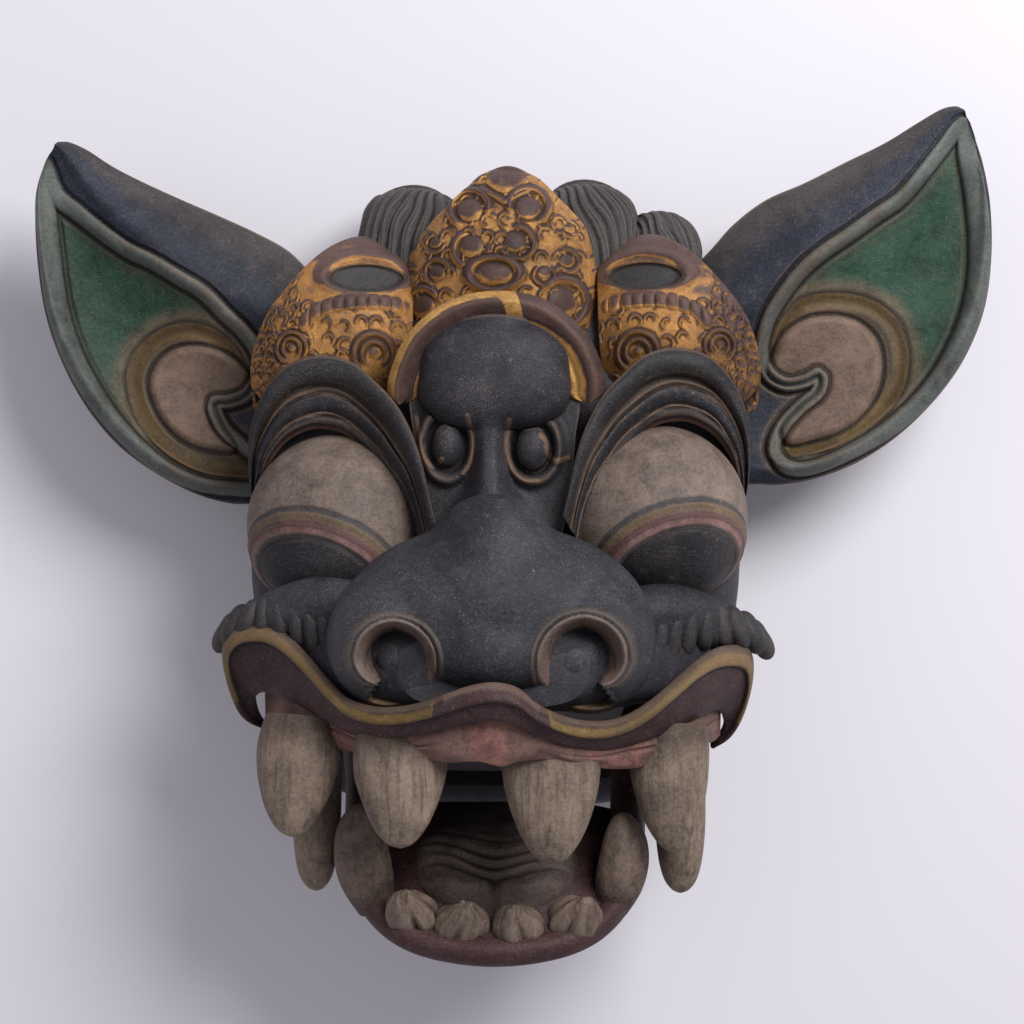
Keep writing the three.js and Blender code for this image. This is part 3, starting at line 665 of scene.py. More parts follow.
# the temples
temple = {
    "outline": [(-38, 112), (-46, 122), (-60, 127), (-76, 120), (-92, 104), (-105, 86), (-112, 64), (-110, 46),
                (-92, 52),
                (-76, 58), (-58, 58), (-42, 52), (-38, 72), (-37, 96)],
    "middle": (-72, 92),
    "pad": ((-71, 82, 76), (49, 47, 44)),
    "almond": ((-58, 105.6), (16.5, 6.2)),
    # concentric curls, each a boss inside two rings
    "rosettes": [((-54.5, 71), 10.5), ((-91.5, 74), 8.0)],
}


def mirrored(points, side):
    # the same places on the other side of the face, which is set 5 mm further out and a little higher
    p = np.asarray(points, float)
    return p if side < 0 else p * np.array([-1, 1, 1][:p.shape[-1]]) + np.array([9.5, 1, 0][:p.shape[-1]])


def templeRelief(side):
    (ax, ay), (aw, ah) = temple["almond"]
    flip = -1 if side > 0 else 1
    shift = 9.5 if side > 0 else 0

    def relief(x, y):
        u, v = (x - shift) * flip, y - (1 if side > 0 else 0)
        eye = np.hypot((u - ax) / aw, (v - ay) / ah)
        total = 1.3 * curls(u, v, 8.0, 11, -90) * eased(97, 92, v)
        total = np.maximum(total, 1.3 * curls(u, v * 0.62, 5.2, 23, -150, 60) * eased(-84, -92, u))
        for (cx, cy), size in temple["rosettes"]:
            r = np.hypot(u - cx, v - cy) / size
            turn = np.degrees(np.arctan2(v - cy, u - cx))
            rings = (bump(r, 0.86, 0.17) + bump(r, 0.52, 0.15)) * eased(20, 60,
                    np.abs((turn + 90 + 180) % 360 - 180))
            rosette = 1.9 * (rings + 0.9 * bump(r, 0, 0.3))
            total = np.where(r < 1.06, rosette, total)
        lid = 1 - np.abs(np.hypot((u - ax) / (aw * 1.2), (v - ay - 1) / (ah * 1.75)) - 1) / 0.3
        total = np.where(eye < 1.5, 0.0, total)
        total = np.maximum(total, 2.6 * eased(0, 1, lid) * eased(-0.9, 0.4, (v - ay) / ah + 0.6))
        away, _ = lineDistance(u, v, smoothPath([(-86, 84), (-80, 90), (-66, 94), (-50, 94), (-42, 92)], 30))
        beads = np.sqrt(np.maximum(0, 1 - (away / 3.4) ** 2)) * np.abs(np.sin(u * np.pi / 5.2)) ** 0.6
        total = np.where(away < 3.4, 1.6 * beads, total)
        return total - 3.2 * np.sqrt(np.maximum(0, 1 - eye ** 2)) ** 0.6
    return relief


def templePiece(side):
    relief = templeRelief(side)
    centre, radii = temple["pad"]
    centre = mirrored(centre, side)
    (ax, ay), (aw, ah) = temple["almond"]
    almond = mirrored((ax, ay), side)
    edge = smoothPath(mirrored(temple["outline"], side), 420, closed=True)
    grid = field(edge, mirrored(temple["middle"], side), lambda x, y: eggHeight(x, y, centre, radii) + relief(x,
            y), 130, 22)
    x, y = grid[..., 0], grid[..., 1]
    outer = (x - (9.5 if side > 0 else 0)) * side
    gilt = giltOf(relief, x, y, 1.7) + 0.34 * (hills(x, y, 16, 5) - 0.5) + 0.2 * (hills(x, y, 4, 8) - 0.5)
    gilt += 0.08 - 0.3 * eased(108, 118, y) - 0.22 * eased(84, 98, outer) - 0.1 * eased(82, 92,
            y) + 0.12 * eased(72, 60, y)
    eye = np.hypot((x - almond[0]) / aw, (y - almond[1]) / ah)
    carved("templeLeft" if side < 0 else "templeRight", [strip(grid, capStart=True, capEnd=True, layers={
        "gilt": gilt, "almond": eye})], templePaint)


templePaint = finish("templeGilding", paint(84, 62, 56), [
    ("gilt", 0.44, 9.0, 0.10, 0.22, paint(168, 120, 66), 0.9, 0.3), ("gilt", 0.78, 9.0, 0.12, 0.25,
            paint(206, 156, 88), 0.7, 0.45),
    ("almond", -1.0, 0.98, 0.06, 0.06, paint(54, 52, 54), 1.0, 0.0), ("almond", 0.96, 1.12, 0.04, 0.05,
            paint(44, 34, 30), 0.8, 0.0)],
    giltYears, metal=0.02, specular=0.4)

for side in (-1, 1):
    templePiece(side)

# the hair
hair = {"lobes": [(-38, 125, 24, 8, 1), (41, 127, 24, 8, -1), (76, 114, 19, 6, -1)], "thick": 15.0}
hairPaint = finish("hairSlate", paint(58, 56, 56), [], {"Wear": 0.4, "Clouds": 0.5, "Dust": 0.3,
                                                        "Bare Wood": paint(112, 100, 92),
                                                        "Hollow Dirt And Shade": 0.9})


def hairPiece(number, x, y, wide, strands, hand):
    # A lobe of combed hair that comes over the crown. Wavy strands run along it as flutes, each split in three.
    path = smoothPath([(x, y - 42, 72), (x, y - 20, 80), (x, y - 4, 77), (x, y + 9, 62), (x * 0.98, y + 12, 42),
                       (x * 0.96, y + 6, 20)], 180)
    angle = np.linspace(0, 2 * np.pi, 300, endpoint=False)[None, :]
    t = np.linspace(0, 1, 180)[:, None]
    u = np.cos(angle) * 0.98
    phase = (u + hand * 0.75 * (t - 0.4)) * strands * 0.62 + 0.3 * np.sin(t * 9 + u * 3) + 1.1 * hills(t * 6,
            u * 2, 1.0, number)
    flute = np.abs(np.sin(np.pi * phase)) ** 0.8
    sub = np.abs(np.sin(np.pi * phase * 3 + 2 * hills(t * 9, u * 4, 1.0, number + 4)))
    swell = roundEnds(180, 0.22, 0.3)[:, None]
    reach = swell * (1 + 0.10 * (flute - 0.6) + 0.045 * sub)
    profile = np.stack([np.cos(angle) * wide * reach, np.sin(angle) * hair["thick"] * reach], axis=-1)
    carved(f"hairLobe{number}", [strip(sweep(path, profile, (0, 0.3, 1)), capStart=True, capEnd=True)],
           hairPaint)


for number, lobe in enumerate(hair["lobes"], 1):
    hairPiece(number, *lobe)

# the forehead
forehead = {
    "outline": [(0, 87), (-18, 84), (-31, 74), (-37, 60), (-38, 48), (-36, 34), (-35, 20), (-33, 6), (-30, -10),
                (-24, -26),
                (0, -30), (24, -26), (30, -10), (33, 6), (35, 20), (36, 34), (38, 48), (37, 60), (31, 74),
                (18, 84)],
    "cap": ((0, 61), (34.5, 25), 127, 23),
    # the stem against y: the height of its back, its half-width and its middle
    "stem": [(-30, 170, 26, 0), (-14, 160, 21, -0.5), (0, 151, 13, -1.5), (12, 146, 8.5, -2), (24, 143, 7.0,
            -2), (36, 143, 8.0, -2),
             (46, 144, 13, -1), (56, 144, 20, 0)],
    # each comma: middle, half-sizes of its ring, half-sizes of its boss
    "commas": [((-21, 30), (11.2, 15.5), (6.6, 9.8)), ((16.8, 28.5), (11.6, 15), (7.4, 10.4))],
    "tanLines": [[(-35, 42), (-33.5, 32), (-31, 24), (-27, 20.5), (-23.5, 23)], [(-14, 17), (-11, 22),
            (-9.8, 32), (-12, 42)],
                 [(6.4, 40), (5.4, 30), (7, 20), (12, 14.5), (19, 13.5)], [(33, 24), (27, 22.5), (23.5, 26),
                         (23, 31), (20.5, 34)]],
}
# the near-black band in the groove round each comma's boss is painted shade
foreheadPaint = finish("foreheadSlate", slate, [("rim", -1.0, 1.15, 0.7, 1.2, paint(118, 92, 74), 0.7),
                                                ("pit", 0.5, 9.0, 0.35, 0.4, paint(30, 26, 26), 0.7)],
                       {"Wear": 0.3, "Clouds": 0.5, "Dust": 0.45, "Hollow Dirt And Shade": 0.6, "Scratches": 0.16})


def foreheadPiece():
    # The ground between the brows: a cap under the arch, a stem that narrows and flares into the nose, and on each
    # side of it a comma, which is a long boss inside a soft ring.
    keys = np.array(forehead["stem"], float)
    edge = smoothPath(forehead["outline"], 440, closed=True)

    def parts(x, y):
        top, half, middle = (np.interp(y, keys[:, 0], keys[:, k]) for k in (1, 2, 3))
        ground = 131 + 0.05 * (10 - y)
        stem = ground + (top - ground) * np.exp(-(np.abs(x - middle) / half) ** 2.8)
        (cx, cy), (cw, ch), foot, rise = forehead["cap"]
        inside = 1 - (np.abs(x - cx) / cw) ** 2.8 - (np.abs(y - cy) / ch) ** 2.8
        cap = foot + rise * np.maximum(inside, 0) ** 0.42
        height = np.log(np.exp(stem / 2.2) + np.exp(cap / 2.2)) * 2.2
        pit = np.zeros(x.shape)
        for (cx, cy), (ringWide, ringHigh), (bossWide, bossHigh) in forehead["commas"]:
            e = np.hypot((x - cx) / ringWide, (y - cy) / ringHigh)
            boss = np.sqrt(np.maximum(0, 1 - ((x - cx) / bossWide) ** 2 - ((y - cy) / bossHigh) ** 2))
            near = eased(1.45, 1.1, e) * (cap < foot + 1.5)
            seat = 132 + 3.6 * bump(e, 1.02, 0.30) + 8.5 * boss - 2.0 * bump(e, 0.74, 0.16)
            height = height * (1 - near) + np.maximum(seat, np.where(e > 0.95, height, 0)) * near
            # painted shade: the groove round the boss, coloured near-black in the finish
            pit = np.maximum(pit, bump(e, 0.74, 0.2) * near)
        rim = np.full(x.shape, 9.0)
        for line in forehead["tanLines"]:
            rim = np.minimum(rim, lineDistance(x, y, smoothPath(line, 24))[0])
        return height + 0.7 * eased(1.8, 0.2, rim), rim, pit

    grid = field(edge, (0, 30), lambda x, y: parts(x, y)[0], 190, 22)
    _, rim, pit = parts(grid[..., 0], grid[..., 1])
    carved("forehead", [strip(grid, capStart=True, capEnd=True, layers={"rim": rim, "pit": pit})],
           foreheadPaint)


foreheadPiece()

# brows and eyes
brow = {
    "outer": [(-111, 2, 84), (-112.5, 20, 92), (-111, 38, 99), (-103.5, 55, 107), (-92, 66.5, 113),
              (-77, 70, 119),
              (-63, 66.5, 124), (-53, 58, 128), (-44.5, 49, 132), (-38, 38, 136), (-33, 25, 139),
              (-29.5, 10, 141), (-26, -6, 143)],
    "inner": [(-108, -8, 88), (-107.5, 2, 95), (-106, 11, 100), (-103, 21, 105), (-96.5, 30, 109),
              (-88, 35.5, 113),
              (-78.8, 37.5, 115), (-67, 34.5, 117), (-55, 24, 119), (-46.5, 13, 121), (-40, 3, 123),
              (-36, -7, 125), (-34, -18, 127)],
}
browPaint = finish("browPaint", paint(40, 39, 42), [
    ("across", 0.36, 0.52, 0.05, 0.16, paint(84, 66, 55), 0.65), ("across", 0.47, 0.52, 0.03, 0.10,
            paint(112, 90, 76), 0.6),
    ("across", 0.555, 0.74, 0.02, 0.05, paint(38, 38, 43), 0.9),
    ("across", 0.775, 0.825, 0.02, 0.06, paint(126, 99, 82), 0.8), ("across", 0.83, 0.93, 0.02, 0.04,
            paint(40, 41, 46), 0.9),
    ("across", 0.93, 1.2, 0.02, 0.05, paint(70, 42, 44), 0.9)],
    {"Wear": 0.35, "Clouds": 0.5, "Dust": 0.4, "Hollow Dirt And Shade": 0.55, "Scratches": 0.18})


def browPiece(side):
    # A brow: a broad roll, a rubbed groove, a hollow band, a thin ridge and a step down to the eye, side by side.
    rows = 320
    outer, inner = (smoothPath(mirrored(brow[key], side) + ([-5.5, 2.5, 0] if side > 0 else 0),
                               rows) for key in ("outer", "inner"))
    v = np.linspace(0, 1, 110)[None, :, None]
    t = np.linspace(0, 1, rows)[:, None, None]
    wave = 0.012 * np.sin(t * 17 + side) + 0.01 * np.sin(t * 41)
    roll = 8.5 * np.sqrt(np.maximum(0, 1 - ((v - 0.165) / 0.215) ** 2)) * (0.4 + 0.6 * eased(1.0, 0.7, t))
    profile = (roll + 0.9 * bump(v + wave, 0.47, 0.06) + 3.4 * np.sqrt(np.maximum(0,
            1 - ((v + wave - 0.65) / 0.125) ** 2))
               + 1.6 * bump(v + wave, 0.80, 0.04) + 2.2 * np.sqrt(np.maximum(0, 1 - ((v - 0.88) / 0.06) ** 2))
               - 2.5 * eased(0.93, 1.0, v))
    ends = roundEnds(rows, 0.06, 0.1)[:, None, None]
    top = outer[:, None] * (1 - v) + inner[:, None] * v
    top[..., 2:] += profile * ends + 3.0 * bump(v, 0.5, 0.6)
    w = np.linspace(1, 0, 12)[None, :, None]
    under = outer[:, None] * (1 - w) + inner[:, None] * w
    under[..., 2:] -= 18
    grid = np.concatenate([top, under], axis=1)
    across = np.concatenate([np.broadcast_to(v[..., 0], (rows, 110)), np.full((rows, 12), -1.0)], axis=1)
    across[:, -12:-9] = 1.1
    carved("browLeft" if side < 0 else "browRight", [strip(grid, capStart=True, capEnd=True,
                                                           layers={"across": across})], browPaint)


eye = {"centre": (-71, -6, 104), "radii": (41.5, 41.5, 37), "gaze": (-0.26, -0.76, 0.6)}
eyePaint = finish("eyePaint", paint(118, 103, 94), [
    ("ring", 57.5, 62, 1.0, 1.6, paint(58, 56, 58), 0.85), ("ring", 53, 57.5, 0.8, 1.2, paint(98, 80, 56),
            0.85),
    ("ring", 48.5, 53, 0.8, 1.2, paint(82, 50, 50), 0.85), ("ring", 45, 48.5, 0.6, 1.2, paint(132, 98, 96),
            0.85),
    ("ring", 42, 45, 0.6, 0.9, paint(98, 90, 88), 0.85), ("ring", -1, 42.3, 0.6, 0.9, paint(38, 37, 41), 1.0)],
    {"Wear": 0.3, "Clouds": 0.5, "Dust": 0.35, "Hollow Dirt And Shade": 0.5, "Scratches": 0.2},
    streak={"scale": (120, 26, 90), "from": 0.5, "to": 0.8, "strength": 0.35, "colour": paint(80, 64, 54),
            "depth": 0.3})


def eyePiece(side):
    # a bulging ball whose painted rings circle the gaze
    gaze = np.array(eye["gaze"]) * (1 if side < 0 else [-1, 1, 1])
    centre = np.array(eye["centre"]) * (1 if side < 0 else [-1, 1, 1]) + (0 if side < 0 else [2, 4, 0])
    grid, ring = ovoid(centre, eye["radii"], gaze, 200, 220)
    lift = 1.1 * eased(60, 57, ring) * eased(42, 45, ring) - 0.9 * bump(ring, 43, 3) + 0.6 * bump(ring, 50, 4)
    grid = centre + (grid - centre) * (1 + lift / 40)[..., None]
    carved("eyeLeft" if side < 0 else "eyeRight", [strip(grid, capStart=True, capEnd=True,
                                                         layers={"ring": ring})], eyePaint)


for side in (-1, 1):
    browPiece(side)
    eyePiece(side)

# snout and nostrils
snout = {
    "centre": (0, -44, 138),
    "eggs": [((-1, -18, 153), (26.5, 26, 29)), ((0, -44, 145), (66, 39, 45)), ((0, -60, 156), (34, 20, 36)),
             ((-45, -57, 154), (28, 28.5, 34)), ((41, -58, 154), (29, 30, 34))],
    # nostril centre, size, and which way round it winds
    "nostrils": [(-43.2, -64.5, 1.0, 1), (38.6, -64.5, 1.09, -1)],
    # the winding band: angle from the side towards the nose's middle, its distance and its half-width
    "band": [(-125, 20.0, 2.2), (-90, 18.7, 2.6), (-45, 17.4, 2.7), (0, 16.0, 2.8), (90, 16.4, 2.8),
             (140, 14.8, 3.6),
             (180, 13.2, 3.6), (215, 11.2, 2.6), (234.9, 10.0, 0.4)],
}
# the near-black band in each nostril's deep channel, round its ball, is painted shade
snoutPaint = finish("snoutSlate", paint(46, 47, 53), [
    ("tanBand", -9, 1.0, 0.16, 0.3, paint(116, 95, 84), 0.9), ("ochreBand", -9, 1.0, 0.14, 0.2, paint(100, 79,
            46), 0.9),
    ("crevice", 0.35, 2.0, 0.25, 0.2, paint(22, 18, 18), 0.9), ("halo", 0.3, 2.0, 0.3, 0.5, paint(78, 66, 56),
            0.6)],
    {"Wear": 0.35, "Clouds": 0.55, "Dust": 0.5, "Hollow Dirt And Shade": 0.6, "Scratches": 0.2, "Bare Wood": paint(104, 98,
            96)})


def snoutPiece():
    # One skin over the nose's masses. Each nostril is a ball inside a crevice, inside a band that winds in to it.
    keys = np.array(snout["band"], float)
    polar = np.linspace(0, np.radians(112), 270)[:, None]
    turn = np.linspace(0, 2 * np.pi, 360, endpoint=False)[None, :]
    grid = eggSkin(snout["centre"], snout["eggs"], polar, turn, 16)
    x, y = grid[..., 0].copy(), grid[..., 1].copy()
    front = eased(146, 158, grid[..., 2])
    tan, ochre, crevice, halo = np.full(x.shape, 9.0), np.full(x.shape,
            9.0), np.zeros(x.shape), np.zeros(x.shape)
    for cx, cy, size, hand in snout["nostrils"]:
        dx, dy = (x - cx) * hand / size, (y - cy) / size
        r = np.hypot(dx, dy)
        turnAt = (np.degrees(np.arctan2(dy, dx)) + 125) % 360 - 125
        away, half = np.interp(turnAt, keys[:, 0], keys[:, 1]), np.interp(turnAt, keys[:, 0], keys[:, 2])
        across = (r - away) / half
        near = eased(27, 21, r) * front
        inner = eased(0.9, -1.3, across)
        channel = eased(-120, -60, turnAt) * eased(240, 190, turnAt)
        ball = np.sqrt(np.maximum(0, 1 - (np.hypot(dx + 1.5, dy + 1.0) / 10.5) ** 2))
        level = 186 - 0.006 * (x ** 2) - 0.012 * (y + 58) ** 2
        floor = level - 3.0 - 4.5 * channel + (2.5 + 5.0 * channel) * ball
        shaped = grid[..., 2] * (1 - inner) + floor * inner
        shaped = shaped + 1.8 * np.sqrt(np.maximum(0, 1 - across ** 2)) * eased(-125, -100,
                turnAt) + 1.2 * bump(across, 1.6, 0.7)
        # painted shade: the deep channel round the nostril's ball, darkened in the finish
        deep = bump(r - (away - half - 2.2), 0, 2.6) * channel
        grid[..., 2] = grid[..., 2] * (1 - near) + shaped * near
        onBand = np.abs(across) + 9 * (near < 0.5)
        tan = np.minimum(tan, onBand + 9 * eased(-62, -74, turnAt))
        ochre = np.minimum(ochre, onBand + 9 * eased(-74, -62, turnAt))
        crevice = np.maximum(crevice, deep * near)
        halo = np.maximum(halo, bump(across, 1.7, 0.8) * near)
    carved("snout", [strip(grid, capStart=True, capEnd=True, layers={
        "tanBand": tan, "ochreBand": ochre, "crevice": crevice, "halo": halo})], snoutPaint)


snoutPiece()

# lip and gum
mouth = {
    # along the lip from one corner to the other: its upper edge (x, y, z) and its lower edge (x, y, z)
    "lip": [(-108, -98, 98, -104.7, -98.3, 96), (-117, -89, 104, -107.5, -91, 100), (-121.8, -73, 112, -108,
            -83.5, 108),
            (-122.4, -59, 118, -106, -80.5, 113), (-116.6, -50.6, 124, -103.8, -79.5, 116), (-106.9, -48.2, 130,
                    -100, -79.5, 119),
            (-97.8, -50, 136, -96, -80.5, 123), (-88.7, -56.4, 143, -90.5, -82.7, 129), (-79.7, -65, 150, -85,
                    -85.2, 134),
            (-71.6, -73.5, 158, -77.5, -89, 142), (-62.8, -81, 166, -66, -94.8, 153), (-51.5, -84, 175, -54,
                    -96.8, 163),
            (-39.6, -83.5, 182, -42, -96.3, 171), (-27.9, -80.5, 188, -29.8, -94.6, 178), (-19.6, -77.2, 191,
                    -18, -91, 184),
            (-9.7, -73.8, 193, -7, -88.6, 187), (0, -72.4, 194, 2, -88.2, 187), (9.8, -74.6, 193, 11, -91,
                    184.5),
            (18, -81.5, 190, 20, -95.7, 180), (26.3, -86, 187, 29, -99.3, 175), (36.3, -89.4, 181, 38, -101.3,
                    170),
            (48, -90.2, 174, 49, -102.5, 162), (58.3, -87.5, 168, 60.5, -100.7, 154), (68.6, -81.5, 160, 70,
                    -98.2, 146),
            (79.2, -73, 152, 78, -95.3, 139), (89.8, -64.5, 145, 85, -92.2, 133), (98.8, -60, 138, 92, -89.4,
                    127),
            (107.9, -59.4, 130, 97, -87.7, 121), (114.6, -62.6, 122, 100.5, -88, 115), (116.5, -73, 114, 102.5,
                    -91, 110),
            (113.6, -88.8, 106, 103.5, -96, 104), (108.5, -99.7, 101, 102, -101.6, 100), (99.9, -107.9, 98,
                    98.3, -107.2, 96)],
    # along the gum: x, then y and z where it leaves the lip and where the teeth leave it
    "gum": [(-104, -82, 108, -97, 104), (-97, -80, 120, -99.6, 116), (-91, -82, 126, -100.5, 122),
            (-77, -88, 138, -103, 132),
            (-62, -94, 152, -105, 146), (-52, -95, 160, -104.5, 155), (-41, -94, 168, -104, 162),
            (-30, -93, 175, -105.5, 169),
            (-21, -90, 179, -107, 175), (-7, -86.5, 182, -106.5, 178), (3, -86, 182, -108.5, 178),
            (11, -89, 181, -106.5, 177),
            (22, -94, 178, -105.8, 174), (32, -98, 174, -107, 170), (48, -100.5, 164, -111, 160), (64, -98, 152,
                    -111.5, 148),
            (77, -93.5, 141, -107.5, 137), (90, -88.5, 129, -104.5, 124), (98, -86, 118, -103, 114),
            (102, -89, 110, -101, 106)],
}
lipPaint = finish("lipPaint", paint(62, 41, 43), [
    ("edgeLine", 5.6, 7.4, 0.4, 0.5, paint(44, 48, 52), 0.85), ("edgeLine", 0.9, 5.8, 0.5, 0.5, paint(108, 86,
            46), 0.9),
    ("edgeLine", -1, 1.0, 0.4, 0.4, paint(58, 54, 52), 0.8), ("middleEdge", -1, 1.1, 0.5, 0.8, paint(104, 88,
            84), 0.6)],
    {"Wear": 0.35, "Clouds": 0.5, "Dust": 0.4, "Hollow Dirt And Shade": 0.5, "Scratches": 0.18})
gumPaint = finish("gumPaint", paint(116, 88, 80), [("blush", 0.5, 2.0, 0.3, 0.5, paint(140, 92, 84), 0.6)],
                  {"Wear": 0.3, "Clouds": 0.55, "Dust": 0.35, "Hollow Dirt And Shade": 0.7, "Dirt And Shade Colour": paint(48, 32, 30),
                   "Scratches": 0.12})


def bandSkin(upper, lower, bulge, columns, back):
    # A rounded band between two edge lines: it swells forwards and down between them and turns in behind.
    v = np.linspace(0, 1, columns)[None, :, None]
    outward = np.array([0, -0.45, 0.89])
    front = upper[:, None] * (1 - v) + lower[:, None] * v + bulge(v) * outward
    w = np.linspace(0.97, 0.03, 14)[None, :, None]
    rear = upper[:, None] * (1 - w) + lower[:, None] * w - outward * back * np.sqrt(np.sin(np.pi * w))
    return np.concatenate([front, rear], axis=1)


def lipPiece():
    rows, cols = 560, 90
    path = smoothPath(mouth["lip"], rows)
    upper, lower = path[:, :3], path[:, 3:]
    width = np.linalg.norm(upper - lower, axis=1)
    ends = roundEnds(rows, 0.03, 0.2)[:, None, None]
    swell = (2.2 + 0.24 * width)[:, None, None]

    def bulge(v):
        edge = np.clip(v * width[:, None, None] / 7.0, 0, 1)
        return ends * (swell * np.sqrt(np.maximum(0, 1 - (2 * v - 1.04) ** 4 / 1.18)) - 2.2 * bump(edge, 1,
                0.35)
                       + 1.2 * bump(edge, 0.5, 0.5) - 1.5 * (1 - eased(0, 0.25, edge)))

    grid = bandSkin(upper, lower, bulge, cols, 7)
    v = np.concatenate([np.linspace(0, 1, cols), np.full(14, 2.0)])[None, :]
    edge = v * width[:, None]
    x = grid[..., 0]
    middle = eased(26, 20, np.abs(x + 1))
    corner = eased(0.025, 0.06, np.linspace(0, 1, rows))[:, None] * eased(0.975, 0.94, np.linspace(0, 1,
            rows))[:, None]
    carved("upperLip", [strip(grid, capStart=True, capEnd=True, layers={
        "edgeLine": edge + 30 * middle + 30 * (1 - corner), "middleEdge": edge + 30 * (1 - middle)})], lipPaint)


def gumPiece():
    rows, cols = 420, 50
    path = smoothPath(np.array(mouth["gum"]), rows)
    upper = path[:, :3]
    lower = np.column_stack([path[:, 0], path[:, 3], path[:, 4]])
    along = np.linspace(0, 1, rows)[:, None, None]

    def bulge(v):
        crease = bump(v, 0.42 + 0.12 * np.sin(along * 23), 0.10) * eased(0.2, 0.8, hills(along * 9,
                along * 0 + 3, 1, 4))
        return roundEnds(rows, 0.03, 0.2)[:, None, None] * (3.6 * np.sin(np.pi * np.clip(v * 0.92 + 0.04, 0,
                1)) ** 0.8 - 1.3 * crease
                                                            + 0.9 * np.sin(along * 61) * bump(v, 0.75, 0.3))

    grid = bandSkin(upper, lower, bulge, cols, 9)
    x, y = grid[..., 0], grid[..., 1]
    blush = (bump(x, -2, 16) + bump(x, 52, 26) * 0.9 + bump(x, -68, 28) * 0.8) * (0.5 + hills(x, y, 6, 7))
    carved("gum", [strip(grid, capStart=True, capEnd=True, layers={"blush": blush})], gumPaint)


lipPiece()
gumPiece()

# cheek rolls and whisker tufts
cheek = {
    # the smooth lobe under the eye: its line and radius
    "roll": [(-50, -44, 142, 9), (-64, -42, 142, 12), (-80, -42, 134, 13), (-95, -46, 126, 12), (-106, -51, 118,
            9.5), (-113, -56, 110, 7)],
    # ribs that hang from it to the lip: x, y and z at the top, a lean, a length and a radius
    "ribs": [(-62, -50, 152, 5, 30, 3.9), (-68, -48, 149, 5, 28, 4.0), (-74.5, -46, 146, 4, 25, 4.1),
             (-81, -44, 143, 3, 22, 4.1),
             (-87.5, -43, 140, 2, 18, 4.1), (-94, -43, 136, 0, 14, 4.2), (-101, -44, 131, -2, 11, 4.4),
             (-108, -46, 126, -4, 9, 4.8),
             (-114.5, -48.5, 120, -5, 9, 4.8), (-119.5, -52, 113, -5, 9, 4.2)],
}
tuftPaint = finish("tuftSlate", paint(46, 46, 50), [], {"Wear": 0.4, "Clouds": 0.5, "Dust": 0.4,
                                                        "Bare Wood": paint(104, 92, 82), "Hollow Dirt And Shade": 0.9})


def tuftPiece(side):
    # the cheek behind the lip: a smooth lobe, and fat ribs of fur that hang from it
    def placed(points):
        return np.asarray(points, float) * [-side, 1, 1] + ([-1.5, -3, 0] if side > 0 else [0, 0, 0])

    path = smoothPath(cheek["roll"], 160)
    size = path[:, 3:] * roundEnds(160, 0.16, 0.2)[:, None]
    angle = np.linspace(0, 2 * np.pi, 72, endpoint=False)[None, :]
    strips = [strip(sweep(placed(path[:, :3]), np.stack([np.cos(angle) * size, np.sin(angle) * size * 1.1],
                                                        axis=-1)),
                    capStart=True, capEnd=True)]
    for x, y, z, lean, length, radius in cheek["ribs"]:
        line = placed([(x - lean * 0.4, y + 5, z - 6), (x, y, z), (x + lean * 0.6, y - length * 0.55, z - 1),
                       (x + lean, y - length, z - 9)])
        wide = radius * (0.85 + 0.25 * np.sin(np.linspace(0.3, 2.8, 60)))[:, None] * roundEnds(60, 0.3, 0.3)[:,
                None]
        strips.append(strip(sweep(smoothPath(line, 60), np.stack([np.cos(angle) * wide,
                np.sin(angle) * wide * 1.3], axis=-1)),
                            capStart=True, capEnd=True))
    carved("tuftLeft" if side < 0 else "tuftRight", strips, tuftPaint)


for side in (-1, 1):
    tuftPiece(side)

# fangs
toothLook = {"scale": (420, 34, 420), "from": 0.44, "to": 0.72, "strength": 0.7, "colour": paint(70, 57, 48),
             "depth": 0.7}
# the dark band by the root is painted shade where each fang meets the gum
toothPaint = finish("fangWood", paint(124, 108, 94), [("tip", -1, 0.22, 0.12, 0.12, paint(66, 50, 43), 0.7)],
                    {"Wear": 0.2, "Clouds": 0.5, "Dust": 0.3, "Hollow Dirt And Shade": 0.6}, streak=toothLook, bumpDepth=0.0008)
taper = {"sharp": [(0, 0.94), (0.18, 1.0), (0.4, 0.96), (0.6, 0.83), (0.78, 0.64), (0.9, 0.44), (0.97, 0.25),
                   (1, 0.04)],
         "blunt": [(0, 0.8), (0.3, 0.98), (0.6, 1.0), (0.8, 0.88), (0.92, 0.66), (0.98, 0.35), (1, 0.05)],
         "fat": [(0, 0.86), (0.2, 0.99), (0.38, 1.0), (0.58, 0.9), (0.76, 0.72), (0.9, 0.48), (0.97, 0.26),
                 (1, 0.04)],
         "horn": [(0, 0.7), (0.25, 0.95), (0.45, 1.0), (0.65, 0.92), (0.8, 0.76), (0.92, 0.5), (0.98, 0.26),
                  (1, 0.04)]}
fangs = {
    "fangOuterLeft": ((-85.5, -90, 136), (-89.5, -143, 142), 18.2, 12, "fat"),
    "fangInnerLeft": ((-41, -95, 158), (-40.4, -145, 168), 20.2, 13.5, "sharp"),
    "fangInnerRight": ((24.6, -95, 158), (25.2, -152, 168), 21.6, 13.5, "sharp"),
    "fangOuterRight": ((76.5, -94, 136), (79, -149.5, 142), 18.0, 11.6, "sharp"),
    "fangRearLeft": ((-80, -86, 108), (-81, -171.5, 106), 11, 12, "blunt"),
    "fangRearRight": ((83.5, -88, 108), (84, -172.5, 106), 11.5, 12, "blunt"),
}


